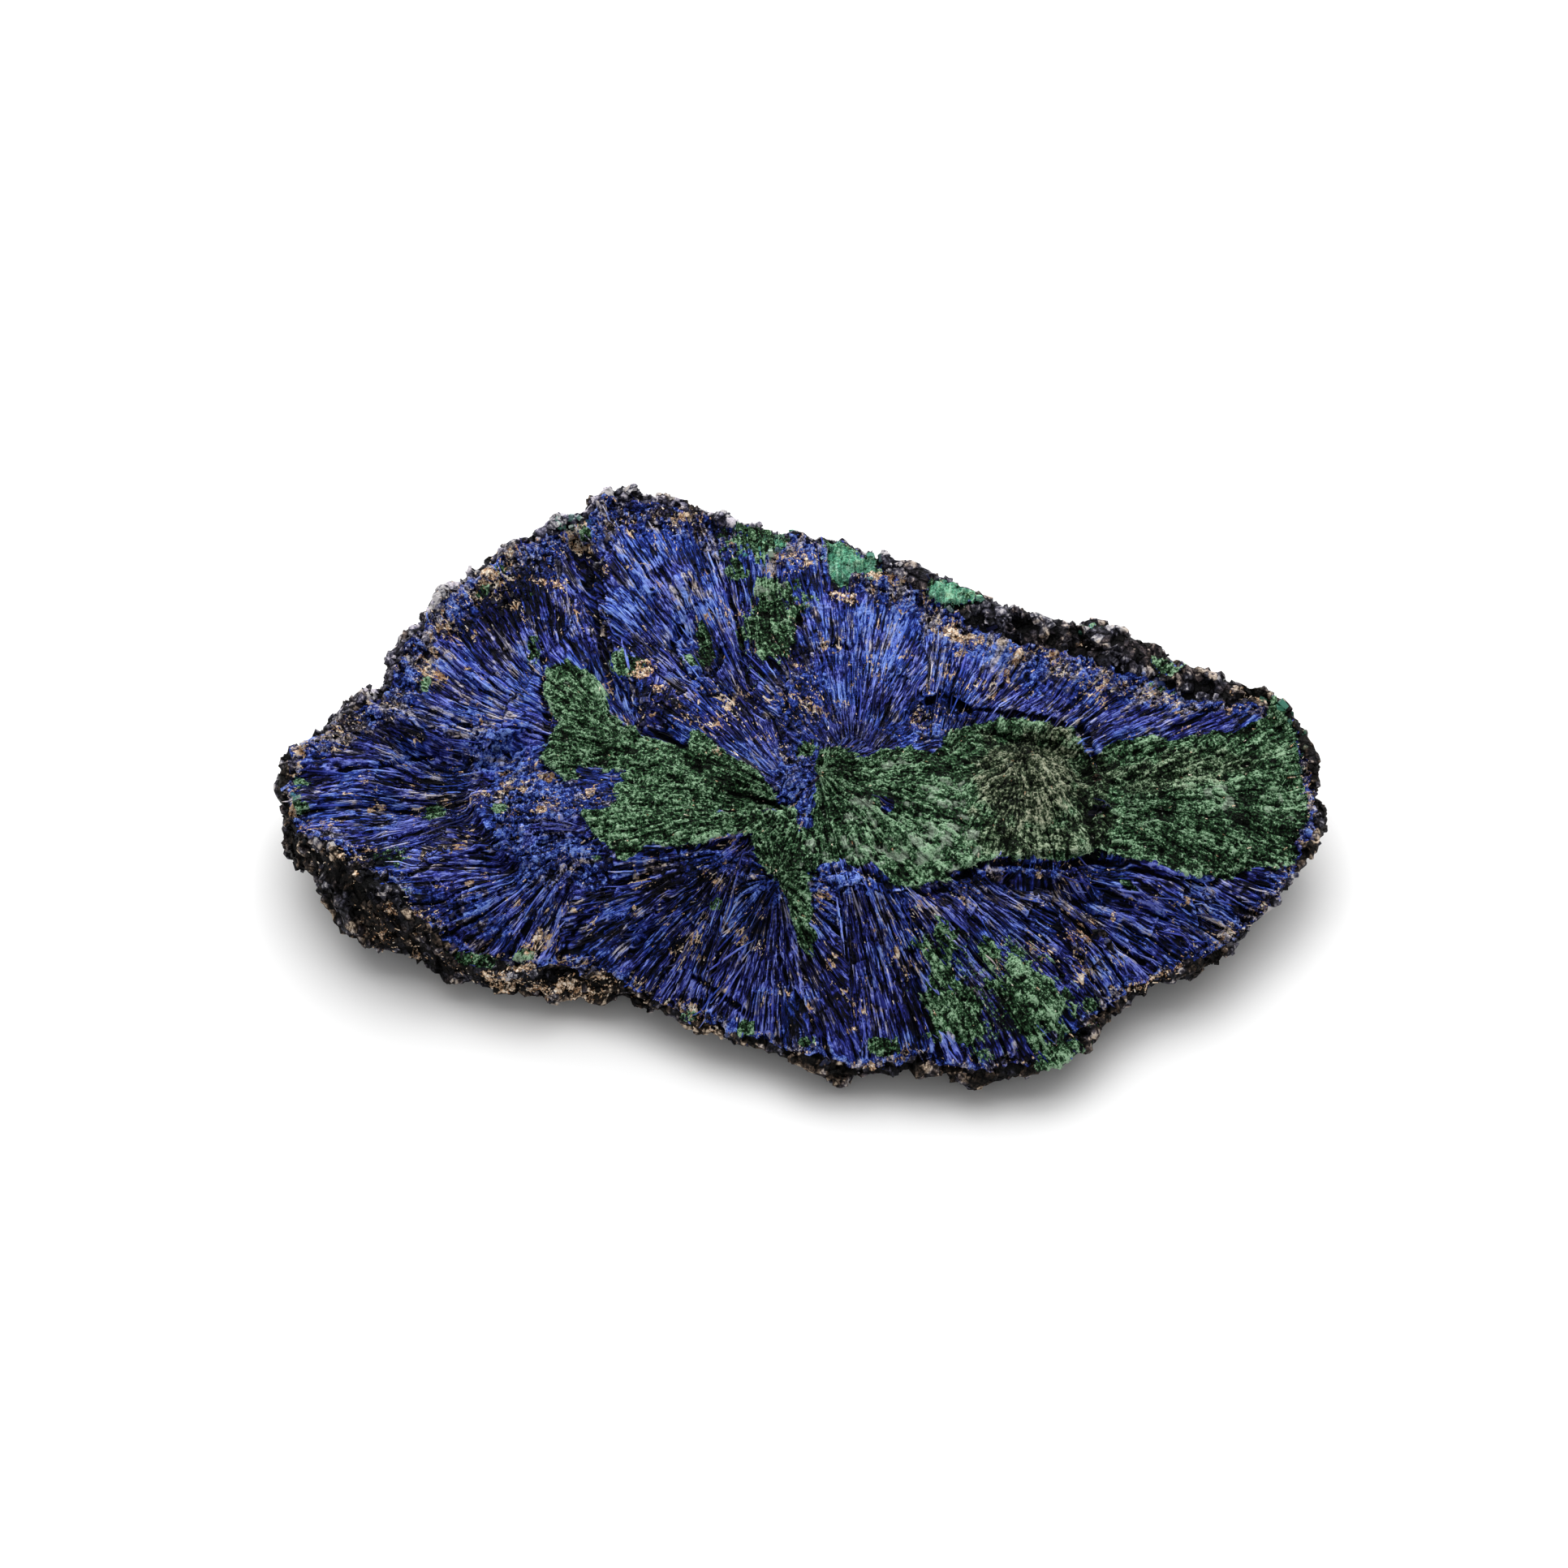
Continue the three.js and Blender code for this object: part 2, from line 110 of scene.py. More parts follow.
VEIN = [
    (672, 820), (700, 812), (725, 830), (750, 855), (757, 880), (775, 893), (800, 905), (830, 915), (848, 922),
    (850, 905), (860, 898), (880, 912), (895, 930), (930, 945), (948, 965), (958, 985), (985, 1000),
    (1005, 995), (1000, 975), (1000, 950), (1015, 920), (1040, 925), (1070, 935), (1090, 922), (1120, 918),
    (1140, 925), (1150, 928), (1165, 910), (1180, 900), (1200, 890), (1225, 885), (1260, 888), (1290, 890),
    (1320, 895), (1335, 910), (1340, 930), (1355, 925), (1375, 912), (1400, 906), (1440, 908), (1480, 905),
    (1520, 900), (1560, 885), (1570, 862), (1590, 885), (1597, 915), (1602, 945), (1612, 970), (1612, 1010),
    (1602, 1040), (1595, 1065), (1575, 1070), (1545, 1068), (1520, 1080), (1490, 1085), (1460, 1078),
    (1430, 1065), (1400, 1062), (1370, 1055), (1345, 1052), (1320, 1058), (1280, 1062), (1240, 1058),
    (1200, 1068), (1180, 1078), (1165, 1088), (1130, 1093), (1100, 1085), (1080, 1070), (1065, 1062),
    (1040, 1060), (1015, 1065), (1000, 1075), (998, 1095), (1005, 1150), (1000, 1180), (985, 1165), (975, 1130),
    (972, 1105), (955, 1085), (940, 1070), (930, 1045), (925, 1028), (890, 1032), (850, 1040), (820, 1045),
    (790, 1045), (770, 1058), (750, 1045), (735, 1025), (720, 1005), (718, 1000), (740, 998), (755, 985),
    (758, 965), (770, 950), (740, 945), (712, 945), (708, 960), (695, 960), (675, 950), (668, 935), (672, 920),
    (685, 905), (690, 895), (680, 880), (672, 860), (668, 840),
]

# Spots in the same picture: middle, radii, turn in degrees, and strength.
AZURITE_IN_VEIN = [
    (984, 968, 20, 22, 0, 1), (1092, 992, 13, 10, 0, 1), (1352, 997, 11, 5, -20, 1),
    (992, 1012, 12, 10, 0, 0.8),
]
MALACHITE_SPOTS = [
    (946, 775, 29, 42, 8, 1), (952, 728, 24, 16, 0, 0.8), (935, 665, 36, 22, 0, 0.9),
    (910, 702, 13, 15, 0, 0.8), (721, 660, 9, 9, 0, 0.9), (657, 798, 9, 13, 0, 1), (869, 790, 7, 22, -12, 1),
    (853, 812, 15, 7, 0, 0.9), (595, 726, 8, 8, 0, 0.8), (619, 699, 9, 6, 0, 0.7), (655, 733, 6, 4, 0, 0.8),
    (772, 818, 22, 12, 0, 0.7), (524, 845, 5, 8, 0, 0.8), (1045, 690, 29, 25, 20, 1),
    (967, 660, 12, 12, 0, 0.9), (1174, 731, 25, 15, 20, 1), (1296, 755, 17, 5, 20, 0.9),
    (1340, 771, 9, 4, 20, 0.9), (1434, 821, 17, 10, 20, 0.9), (1425, 846, 16, 6, 20, 0.6),
    (1578, 905, 13, 42, -15, 0.9), (992, 741, 18, 10, 0, 0.5), (995, 920, 12, 9, 0, 0.8),
    (1168, 1158, 12, 22, -30, 0.9), (1217, 1175, 13, 22, -30, 0.9), (1176, 1238, 32, 42, -25, 0.95),
    (1272, 1236, 38, 52, -30, 1), (1306, 1302, 30, 15, -20, 0.8), (1086, 1290, 18, 11, 0, 0.8),
    (991, 1283, 9, 9, 0, 0.7), (1389, 1091, 13, 6, 25, 0.9), (616, 995, 9, 7, 0, 1), (537, 1001, 11, 8, 0, 0.7),
    (371, 968, 11, 5, 0, 0.8), (371, 995, 9, 7, 0, 0.8), (480, 1056, 19, 10, 0, 0.55),
    (505, 1100, 20, 9, 25, 0.4), (589, 1183, 26, 9, 8, 0.9), (643, 1177, 16, 7, 0, 0.8),
    (920, 1267, 12, 9, 0, 0.8), (850, 1252, 9, 6, 0, 0.6), (735, 1056, 8, 4, 0, 0.8),
    (881, 1114, 12, 9, 0, 0.6), (1345, 1236, 9, 10, 0, 0.8), (1215, 1300, 18, 10, 0, 0.5),
    (1235, 1225, 90, 60, 30, 0.45), (1165, 1215, 20, 66, -22, 0.8),
]
TURQUOISE_SPOTS = [
    (1047, 690, 32, 28, 0, 1), (967, 660, 16, 16, 0, 0.8), (1174, 731, 30, 20, 0, 1),
    (1296, 755, 20, 9, 20, 0.9), (1340, 771, 12, 6, 20, 0.9), (925, 668, 36, 26, 0, 0.55),
    (1578, 900, 20, 55, -10, 0.55), (371, 985, 16, 26, 0, 0.4), (905, 700, 18, 20, 0, 0.5),
    (700, 645, 20, 10, 0, 0.3),
]
PALE_SPOTS = [
    (1150, 1040, 60, 28, 0, 0.7), (1075, 1020, 50, 40, 20, 0.5), (1175, 985, 40, 22, 30, 0.6),
    (1345, 1000, 30, 22, 0, 0.1), (1495, 985, 22, 18, 0, 0.6), (1570, 990, 14, 30, 0, 0.5),
    (1420, 1010, 30, 14, 0, 0.3), (1040, 1045, 40, 20, 0, 0.6), (952, 726, 22, 14, 0, 0.6),
    (840, 990, 26, 12, 0, 0.35), (1100, 945, 26, 12, 25, 0.5), (1255, 945, 24, 12, 0, 0.25),
    (1275, 1225, 30, 30, 0, 0.25), (643, 1177, 18, 10, 0, 0.8), (990, 1060, 20, 12, 0, 0.5),
    (725, 850, 24, 20, 0, 0.3),
]
OLIVE_SPOTS = [
    (1270, 965, 62, 62, 0, 0.9), (1345, 985, 28, 60, 0, 0.5), (1460, 950, 90, 22, -8, 0.4),
    (1265, 1035, 60, 20, 0, 0.6),
]
CLAY_SPOTS = [
    (602, 702, 11, 6, 0, 0.9), (629, 682, 6, 6, 0, 0.9), (680, 719, 18, 10, 0, 0.8), (745, 702, 7, 7, 0, 0.9),
    (657, 716, 8, 5, 0, 0.8), (585, 781, 3, 6, 20, 0.9), (796, 821, 13, 11, -40, 0.9),
    (812, 850, 11, 6, 30, 0.8), (725, 974, 8, 8, 0, 1), (674, 957, 9, 5, 0, 0.9), (645, 974, 4, 4, 0, 1),
    (663, 998, 12, 4, 0, 0.9), (700, 985, 40, 14, 0, 0.35), (422, 920, 11, 4, -20, 0.7),
    (456, 866, 6, 4, 0, 0.8), (884, 927, 8, 4, 20, 0.8), (976, 815, 8, 7, 0, 0.8), (1037, 734, 24, 7, 15, 0.8),
    (1105, 713, 13, 6, 20, 0.8), (1168, 780, 17, 9, 20, 0.9), (1205, 790, 15, 5, 20, 0.8),
    (1252, 807, 11, 8, 0, 0.9), (1240, 832, 4, 12, -15, 0.8), (1184, 804, 8, 4, 0, 0.8),
    (1145, 846, 7, 8, 0, 0.7), (1125, 884, 6, 6, 0, 0.7), (1331, 790, 9, 4, 0, 0.8), (1268, 853, 5, 8, 0, 0.8),
    (1016, 797, 5, 6, 0, 0.8), (1075, 709, 9, 5, 0, 0.8), (1534, 858, 26, 6, 10, 0.6),
    (599, 1199, 26, 4, 0, 0.9), (646, 1192, 22, 5, -8, 0.9), (616, 1226, 20, 7, 10, 1),
    (642, 1232, 18, 5, 0, 1), (697, 1216, 34, 10, -5, 0.9), (742, 1209, 16, 6, 5, 0.9),
    (480, 1124, 9, 11, -30, 0.9), (476, 1154, 12, 7, 0, 0.8), (436, 1080, 5, 11, 0, 0.8),
    (422, 1056, 5, 8, 0, 0.8), (466, 995, 20, 3, -12, 0.7), (405, 1015, 20, 5, -10, 0.6),
    (660, 1151, 7, 11, 0, 0.9), (779, 1229, 8, 5, 0, 0.8), (878, 1267, 6, 4, 0, 0.9), (861, 1256, 9, 7, 0, 0.6),
    (912, 1161, 6, 6, 0, 0.8), (937, 1165, 7, 10, 0, 0.7), (512, 1176, 8, 9, 0, 0.8),
    (1408, 1217, 22, 5, -15, 1), (1331, 1154, 15, 9, 20, 0.8), (1373, 1129, 4, 6, -30, 0.9),
    (1278, 1080, 5, 6, 0, 0.9), (1445, 1133, 5, 4, 0, 0.9), (1072, 1315, 11, 6, 0, 0.9),
    (1047, 1270, 10, 6, 0, 0.7), (1100, 1175, 8, 8, 0, 0.6), (1114, 1296, 5, 5, 0, 0.8),
    (1021, 1185, 8, 8, 0, 0.6), (1016, 1105, 12, 9, 0, 0.6), (985, 690, 18, 10, 0, 0.6),
    (840, 640, 14, 7, 0, 0.6), (590, 710, 70, 22, -35, 0.35), (1300, 1180, 60, 10, 30, 0.4),
    (990, 850, 30, 40, 0, 0.35), (870, 870, 60, 30, 20, 0.3), (640, 1215, 60, 12, 5, 0.8),
    (705, 1228, 40, 8, -5, 0.8), (560, 1190, 30, 8, 30, 0.5), (1420, 1205, 40, 6, -20, 0.6),
    (470, 1140, 22, 30, -30, 0.45), (520, 1165, 30, 14, 30, 0.4), (400, 1060, 14, 20, 0, 0.4),
    (660, 1165, 18, 14, 0, 0.6),
]
RUSTY_SPOTS = [
    (697, 1210, 50, 16, 0, 0.3), (480, 1124, 14, 14, 0, 0.9), (620, 1228, 20, 8, 0, 0.4),
    (1331, 1154, 16, 10, 0, 0.9), (1168, 780, 20, 12, 0, 0.5), (800, 830, 22, 18, 0, 0.8),
    (725, 974, 60, 24, 0, 0.4), (476, 1154, 14, 9, 0, 0.7),
]
# Painted sheen: paler lilac patches, painted into the azurite's colour where the broken face catches the light.
PAINTED_SHEEN_SPOTS = [
    (880, 748, 20, 50, -25, 1), (805, 715, 45, 45, 0, 0.6), (646, 818, 22, 26, 0, 0.5),
    (622, 886, 60, 18, 35, 0.6), (1079, 820, 18, 62, 0, 0.9), (1104, 800, 16, 40, 10, 0.8),
    (1150, 800, 30, 34, 0, 0.6), (1225, 815, 50, 20, 20, 0.4), (1432, 888, 70, 12, -10, 0.6),
    (646, 1034, 34, 18, 0, 0.4), (604, 960, 7, 52, 8, 0.7), (694, 1110, 24, 16, 0, 0.5),
    (1303, 1098, 22, 20, 30, 0.6), (1362, 1112, 20, 14, 30, 0.7), (1290, 1168, 14, 24, -30, 0.5),
    (960, 690, 30, 20, 0, 0.4), (1020, 780, 40, 50, 0, 0.5), (720, 640, 14, 22, -30, 0.4),
    (1075, 810, 80, 56, 0, 0.75), (825, 720, 70, 70, 0, 0.7), (600, 840, 70, 50, 30, 0.4),
    (650, 990, 40, 60, 5, 0.15), (480, 970, 90, 40, 0, 0.5), (1400, 880, 90, 20, 0, 0.3),
    (1180, 820, 60, 30, 20, 0.4), (650, 1100, 90, 50, 0, 0.3),
]
# Painted shade: darker spots painted into the colour in clefts, recesses, under overhangs and on the dome's shaded
# side.
PAINTED_SHADE_SPOTS = [
    (640, 730, 90, 34, -35, 0.7), (738, 735, 12, 90, -12, 0.6), (835, 630, 70, 22, 15, 0.55),
    (975, 830, 24, 90, 0, 0.5), (1160, 868, 50, 16, 10, 0.7), (850, 1095, 60, 26, -10, 0.6),
    (460, 1058, 30, 14, 0, 0.8), (1330, 1150, 60, 16, 30, 0.6), (500, 900, 44, 12, 30, 0.7),
    (560, 990, 60, 10, -10, 0.5), (800, 860, 40, 18, 40, 0.7), (870, 805, 14, 30, 0, 0.6),
    (1240, 1085, 80, 10, 5, 0.8), (1395, 1085, 60, 9, 15, 0.5), (1110, 1245, 26, 60, 5, 0.5),
    (520, 960, 70, 14, 8, 0.4), (930, 870, 60, 20, 20, 0.5), (935, 985, 26, 6, 20, 0.6),
    (1350, 990, 22, 60, 0, 0.6), (780, 1150, 40, 20, 0, 0.3), (1252, 920, 30, 30, 0, 0.6),
    (1215, 1025, 50, 12, 25, 0.8), (1437, 994, 12, 26, 0, 0.8), (1531, 1000, 20, 30, 10, 0.7),
    (1470, 1050, 50, 10, 5, 0.6), (1085, 985, 40, 12, 20, 0.7), (1045, 950, 24, 16, 0, 0.6),
    (880, 955, 50, 12, 35, 0.7), (790, 930, 30, 8, 30, 0.5), (700, 905, 24, 8, 20, 0.5),
    (1575, 1040, 20, 20, 0, 0.6), (970, 1050, 30, 20, 0, 0.5), (1240, 990, 20, 30, 0, 0.5),
    (1180, 940, 40, 8, -20, 0.5), (1250, 1250, 20, 30, -30, 0.7), (945, 780, 12, 30, 0, 0.5),
]
GRANULAR_SPOTS = [
    (640, 985, 34, 66, 10, 1), (670, 1040, 60, 22, 0, 1), (985, 860, 30, 80, 0, 0.7),
    (1040, 1085, 50, 16, 0, 0.8), (700, 985, 60, 26, 0, 1), (640, 715, 80, 20, -35, 0.6),
    (850, 640, 80, 20, 15, 0.6), (870, 1065, 60, 18, 0, 0.7), (860, 815, 26, 30, 0, 0.6),
    (1160, 870, 44, 14, 10, 0.7), (800, 855, 40, 26, 35, 0.7), (705, 1070, 60, 34, 0, 0.9),
    (985, 1095, 40, 24, 0, 0.9), (985, 960, 30, 60, 0, 0.9), (935, 1060, 40, 20, 0, 0.6),
    (1130, 900, 40, 14, 0, 0.7), (1200, 1095, 40, 14, 0, 0.5), (755, 935, 30, 20, 0, 0.6),
    (570, 1120, 60, 30, 30, 0.6), (530, 760, 30, 30, 0, 0.4), (1300, 850, 60, 12, 10, 0.5),
    (606, 920, 26, 30, 0, 1), (1262, 1074, 95, 11, 0, 0.8),
]

# Lines in the same picture: points, half width in pixels, and depth in millimetres.
CRACKS = [
    ([(1100, 837), (1110, 833), (1124, 839)], 3, 0.8),
    ([(1140, 862), (1160, 855), (1176, 864), (1190, 875), (1218, 873)], 4, 1.2),
    ([(1214, 872), (1240, 880), (1290, 886), (1325, 893)], 4, 0.7),
    ([(1332, 893), (1340, 908), (1347, 928)], 5, 1.2),
    ([(1347, 928), (1338, 950), (1352, 985), (1342, 1015), (1350, 1050)], 6, 0.6),
    ([(1180, 1080), (1215, 1066), (1260, 1066), (1310, 1066), (1345, 1058)], 5, 1.0),
    ([(1350, 1060), (1400, 1070), (1440, 1080), (1490, 1090), (1540, 1074)], 4, 0.8),
    ([(668, 815), (664, 850), (676, 885), (668, 915)], 4, 0.7),
    ([(724, 822), (745, 840), (758, 868), (775, 888), (806, 902), (846, 920)], 4, 0.9),
    ([(902, 975), (925, 982), (950, 990), (975, 1004)], 4, 0.9),
    ([(836, 770), (828, 800), (846, 832), (880, 830), (892, 800)], 4, 0.9),
    ([(700, 645), (716, 690), (730, 740), (742, 790), (752, 850)], 5, 0.7),
    ([(560, 800), (590, 830), (620, 850)], 3, 0.7),
    ([(765, 1050), (800, 1052), (860, 1044), (920, 1034)], 4, 0.5),
    ([(1000, 1078), (1040, 1068), (1070, 1075), (1100, 1092), (1140, 1098), (1170, 1092)], 4, 0.8),
    ([(1010, 795), (1030, 790), (1050, 800)], 3, 0.6),
    ([(500, 1085), (540, 1060), (600, 1045), (650, 1052)], 3, 0.6),
    ([(690, 1180), (720, 1130), (760, 1090), (800, 1075)], 4, 0.8),
    ([(1120, 1170), (1135, 1220), (1150, 1270), (1160, 1310)], 4, 0.9),
    ([(960, 1180), (975, 1220), (1000, 1260), (1020, 1300)], 4, 0.8),
    ([(850, 1200), (880, 1220), (920, 1250)], 4, 0.8),
    ([(1300, 1110), (1330, 1140), (1370, 1165), (1410, 1185)], 4, 1.0),
    ([(1220, 1100), (1260, 1130), (1290, 1160), (1310, 1200)], 3, 0.7),
    ([(880, 690), (900, 740), (912, 790), (925, 850)], 3, 0.7),
    ([(985, 760), (975, 820), (965, 880)], 4, 0.8),
    ([(610, 710), (630, 760), (645, 800)], 3, 0.6),
    ([(420, 950), (480, 940), (540, 930)], 3, 0.7),
]
# A painted highlight along the lit edge of a step, added to the painted sheen. Its last number is the highlight's
# strength.
PAINTED_HIGHLIGHT_BROWS = [
    ([(598, 930), (592, 945), (585, 962), (583, 985), (590, 1002), (604, 1018)], 3.5, 1.0),
]

# Steps in the broken face: points, reach in pixels and height in millimetres. The ground is raised on the left
# hand of someone who walks along the line in the picture, or on the right hand if the reach is negative, and falls
# off over the reach.
STEPS = [
    ([(425, 872), (470, 884), (520, 896), (565, 908), (610, 906), (650, 900), (684, 888)], 60, 1.1),
    ([(590, 1012), (578, 985), (582, 950), (588, 938)], -30, 0.6),
    (
        [(1080, 842), (1110, 834), (1140, 862), (1176, 864), (1200, 878), (1240, 882), (1290, 888), (1335, 896)],
        40, 1.1,
    ),
    ([(1170, 1082), (1210, 1064), (1260, 1056), (1340, 1050), (1410, 1064), (1480, 1084), (1530, 1084)], 30, 1.4),
    ([(700, 1010), (730, 1040), (775, 1056), (850, 1044), (930, 1032), (975, 1100), (990, 1170)], 26, 0.7),
    ([(760, 640), (745, 700), (752, 760), (762, 820), (790, 880), (850, 915)], 60, 1.6),
    ([(668, 800), (655, 760), (640, 720), (628, 690)], 40, 0.9),
    ([(880, 880), (868, 830), (852, 780), (846, 730), (860, 690)], 40, 1.1),
    ([(985, 900), (975, 840), (985, 780), (980, 720)], 44, 1.0),
    ([(1200, 1290), (1178, 1230), (1150, 1170), (1120, 1120), (1090, 1100)], 50, 1.2),
    ([(1400, 1200), (1350, 1160), (1310, 1130), (1250, 1095)], 40, 1.2),
    ([(1290, 1260), (1260, 1200), (1225, 1150), (1200, 1110)], 36, 1.0),
    ([(1020, 1300), (1000, 1250), (985, 1200), (960, 1150)], 40, 1.0),
    ([(770, 1195), (790, 1150), (830, 1100), (860, 1070)], 40, 0.9),
    ([(480, 1080), (540, 1052), (600, 1040), (660, 1056)], -40, 0.9),
    ([(620, 1180), (650, 1140), (700, 1090), (720, 1060)], 40, 0.9),
    ([(1345, 895), (1338, 930), (1345, 985), (1342, 1050)], 34, 1.0),
    ([(1360, 1056), (1364, 1000), (1358, 940), (1362, 905)], 34, 1.0),
    ([(1500, 1100), (1440, 1086), (1380, 1078)], 40, 0.8),
]


# Numbers for shapes.

RAGGED = 0.45  # How far a ragged edge moves, in radii of a spot.
SPOT_EDGE = (1.3, 0.75)  # Where a spot begins and where it is full, in its radii.
LINE_EDGE = (1.5, 0.3)  # The same for a line, in its half widths.
STEP_EDGE = 3  # Half the width of a step's steep side, in pixels.
SPRAY_CORE = 4  # Millimetres round a spray's middle in which it holds most.
SPRAY_FALL = 5  # How steeply a spray's hold falls off beyond that.
SPRAY_APART = 61.0  # How far apart the sprays' fibres lie in the grain's third coordinate.


def ease(low, high, value):
    """0 below low, 1 above high, and a smooth rise between them."""
    share = np.clip((value - low) / (high - low), 0, 1)
    return share * share * (3 - 2 * share)


def scatter(cells, seed):
    """A random number from -1 to 1 for each cell of whole numbers."""
    x, y, z = (cells[:, axis].astype(np.int64).astype(np.uint32) for axis in range(3))
    mixed = x * np.uint32(73856093) ^ y * np.uint32(19349663) ^ z * np.uint32(83492791)
    mixed = mixed ^ np.uint32(seed * 7919 + 17)
    mixed = (mixed ^ (mixed >> 16)) * np.uint32(0x7FEB352D)
    mixed = (mixed ^ (mixed >> 15)) * np.uint32(0x846CA68B)
    return (mixed ^ (mixed >> 16)) / 2.0**31 - 1


def noise(points, size, seed):
    """Smooth noise from -1 to 1, with lumps of the given size."""
    place = points / size
    cell = np.floor(place).astype(np.int64)
    share = ease(0, 1, place - cell)
    total = np.zeros(len(points))
    for corner in np.ndindex(2, 2, 2):
        weight = np.prod(np.where(corner, share, 1 - share), axis=1)
        total += weight * scatter(cell + corner, seed)
    return total


def facets(points, size, seed, slope):
    """Flat facets of random height and tilt, one to a cell, like crystals grown side by side."""
    place = points / size
    home = np.floor(place).astype(np.int64)
    nearest = np.full(len(points), np.inf)
    height = np.zeros(len(points))
    for step in np.ndindex(3, 3, 3):
        cell = home + np.array(step) - 1
        heart = np.stack([scatter(cell, seed + axis) for axis in range(3)], axis=1)
        tilt = np.stack([scatter(cell, seed + 3 + axis) for axis in range(3)], axis=1)
        away = place - cell - 0.5 - 0.45 * heart
        distance = np.einsum("ij,ij->i", away, away)
        closer = distance < nearest
        raised = scatter(cell, seed + 6) + slope * np.einsum("ij,ij->i", tilt, away)
        height = np.where(closer, raised, height)
        nearest = np.where(closer, distance, nearest)
    return height


def picture_place(points):
    """Where points in millimetres stand in the picture, in pixels."""
    toward = points - CAMERA
    scale = PICTURE * LENS / SENSOR / (toward @ FORWARD)
    return np.stack([PICTURE / 2 + scale * toward[:, 0], PICTURE / 2 - scale * (toward @ UPWARD)], axis=1)


def distance_inside(places, outline):
    """How far places lie inside an outline, in pixels. It is negative outside."""
    corners = np.array(outline, float)
    within = np.zeros(len(places), bool)
    nearest = np.full(len(places), np.inf)
    for start, end in zip(corners, np.roll(corners, -1, axis=0)):
        side = end - start
        share = np.clip((places - start) @ side / (side @ side), 0, 1)
        gap = places - start - share[:, None] * side
        nearest = np.minimum(nearest, np.einsum("ij,ij->i", gap, gap))
        crosses = (start[1] > places[:, 1]) != (end[1] > places[:, 1])
        if side[1]:
            within ^= crosses & (places[:, 0] < start[0] + side[0] * (places[:, 1] - start[1]) / side[1])
    return np.where(within, 1, -1) * np.sqrt(nearest)


def spot_field(places, spots, ragged):
    """The strongest of a list of spots at each place. ragged moves their edges in and out."""
    field = np.zeros(len(places))
    for x, y, wide, high, turn, strength in spots:
        angle = math.radians(turn)
        across, along = places[:, 0] - x, places[:, 1] - y
        first = (across * math.cos(angle) + along * math.sin(angle)) / wide
        second = (along * math.cos(angle) - across * math.sin(angle)) / high
        reach = np.hypot(first, second) + RAGGED * ragged
        field = np.maximum(field, strength * ease(*SPOT_EDGE, reach))
    return field


def line_field(places, lines):
    """The depth of the deepest of a list of lines at each place, and 0 away from them."""
    begins, full = LINE_EDGE
    field = np.zeros(len(places))
    for points, half_width, depth in lines:
        corners = np.array(points, float)
        for start, end in zip(corners[:-1], corners[1:]):
            side = end - start
            share = np.clip((places - start) @ side / (side @ side), 0, 1)
            gap = np.linalg.norm(places - start - share[:, None] * side, axis=1)
            field = np.maximum(field, depth * ease(begins * half_width, full * half_width, gap))
    return field


def step_field(places, steps, ragged):
    """How far the steps raise the ground at each place, in millimetres."""
    field = np.zeros(len(places))
    for points, reach, height in steps:
        corners = np.array(points, float)
        if reach < 0:
            corners = corners[::-1]
        sides = np.diff(corners, axis=0)
        lengths = np.linalg.norm(sides, axis=1)
        passed = np.concatenate([[0], np.cumsum(lengths)])
        nearest = np.full(len(places), np.inf)
        signed, along = np.zeros(len(places)), np.zeros(len(places))
        for number, side in enumerate(sides):
            away = places - corners[number]
            share = np.clip(away @ side / lengths[number] ** 2, 0, 1)
            gap = np.linalg.norm(away - share[:, None] * side, axis=1)
            turn = side[0] * away[:, 1] - side[1] * away[:, 0]
            closer = gap < nearest
            signed = np.where(closer, -np.sign(turn) * gap, signed)
            along = np.where(closer, (passed[number] + share * lengths[number]) / passed[-1], along)
            nearest = np.where(closer, gap, nearest)
        taper = ease(0, 0.2, along) * ease(1, 0.8, along)
        steep = ease(-STEP_EDGE, STEP_EDGE, signed + 4 * ragged)
        field += height * taper * steep * ease(abs(reach), 0, signed)
    return field


def spray_shares(points):
    """How far each spray holds at each point, as shares that add up to one."""
    plan = points[:, :2] - LAYOUT_ORIGIN
    painted_gap_shade = [np.linalg.norm(plan - np.array(fills), axis=1) for _, fills in SPRAYS]
    weights = (np.stack(painted_gap_shade) + SPRAY_CORE) ** -SPRAY_FALL
    return weights / weights.sum(axis=0)


def holding_spray(points, shares):
    """The number of the spray that holds each point, with ragged borders."""
    ragged = [share * (1 + 0.5 * noise(points + 40 * number, 3, 90)) for number, share in enumerate(shares)]
    return np.argmax(ragged, axis=0)


def fibre_way(points, normals, holder):
    """The direction of the fibres at each point, in the skin."""
    way = np.zeros((len(points), 3))
    way[:, :2] = points[:, :2] - LAYOUT_ORIGIN - np.array([start for start, _ in SPRAYS])[holder]
    way -= np.einsum("ij,ij->i", way, normals)[:, None] * normals
    return way / (np.linalg.norm(way, axis=1)[:, None] + 1e-9)


def grain_place(points, holder):
    """Where points lie among the fibres: millimetres across them and along them, and a number for their spray."""
    start = np.array([start for start, _ in SPRAYS])[holder]
    middle = np.array([fills for _, fills in SPRAYS])[holder] - start
    outward = points[:, :2] - LAYOUT_ORIGIN - start
    aside = middle[:, 0] * outward[:, 1] - middle[:, 1] * outward[:, 0]
    turn = np.arctan2(aside, np.einsum("ij,ij->i", middle, outward))
    across = turn * np.hypot(*middle.T) + 0.4 * noise(points, 12, 91) + 0.06 * noise(points, 3, 92)
    along = np.hypot(*outward.T) + noise(points, 6, 93)
    return np.stack([across, along, SPRAY_APART * holder], axis=1)


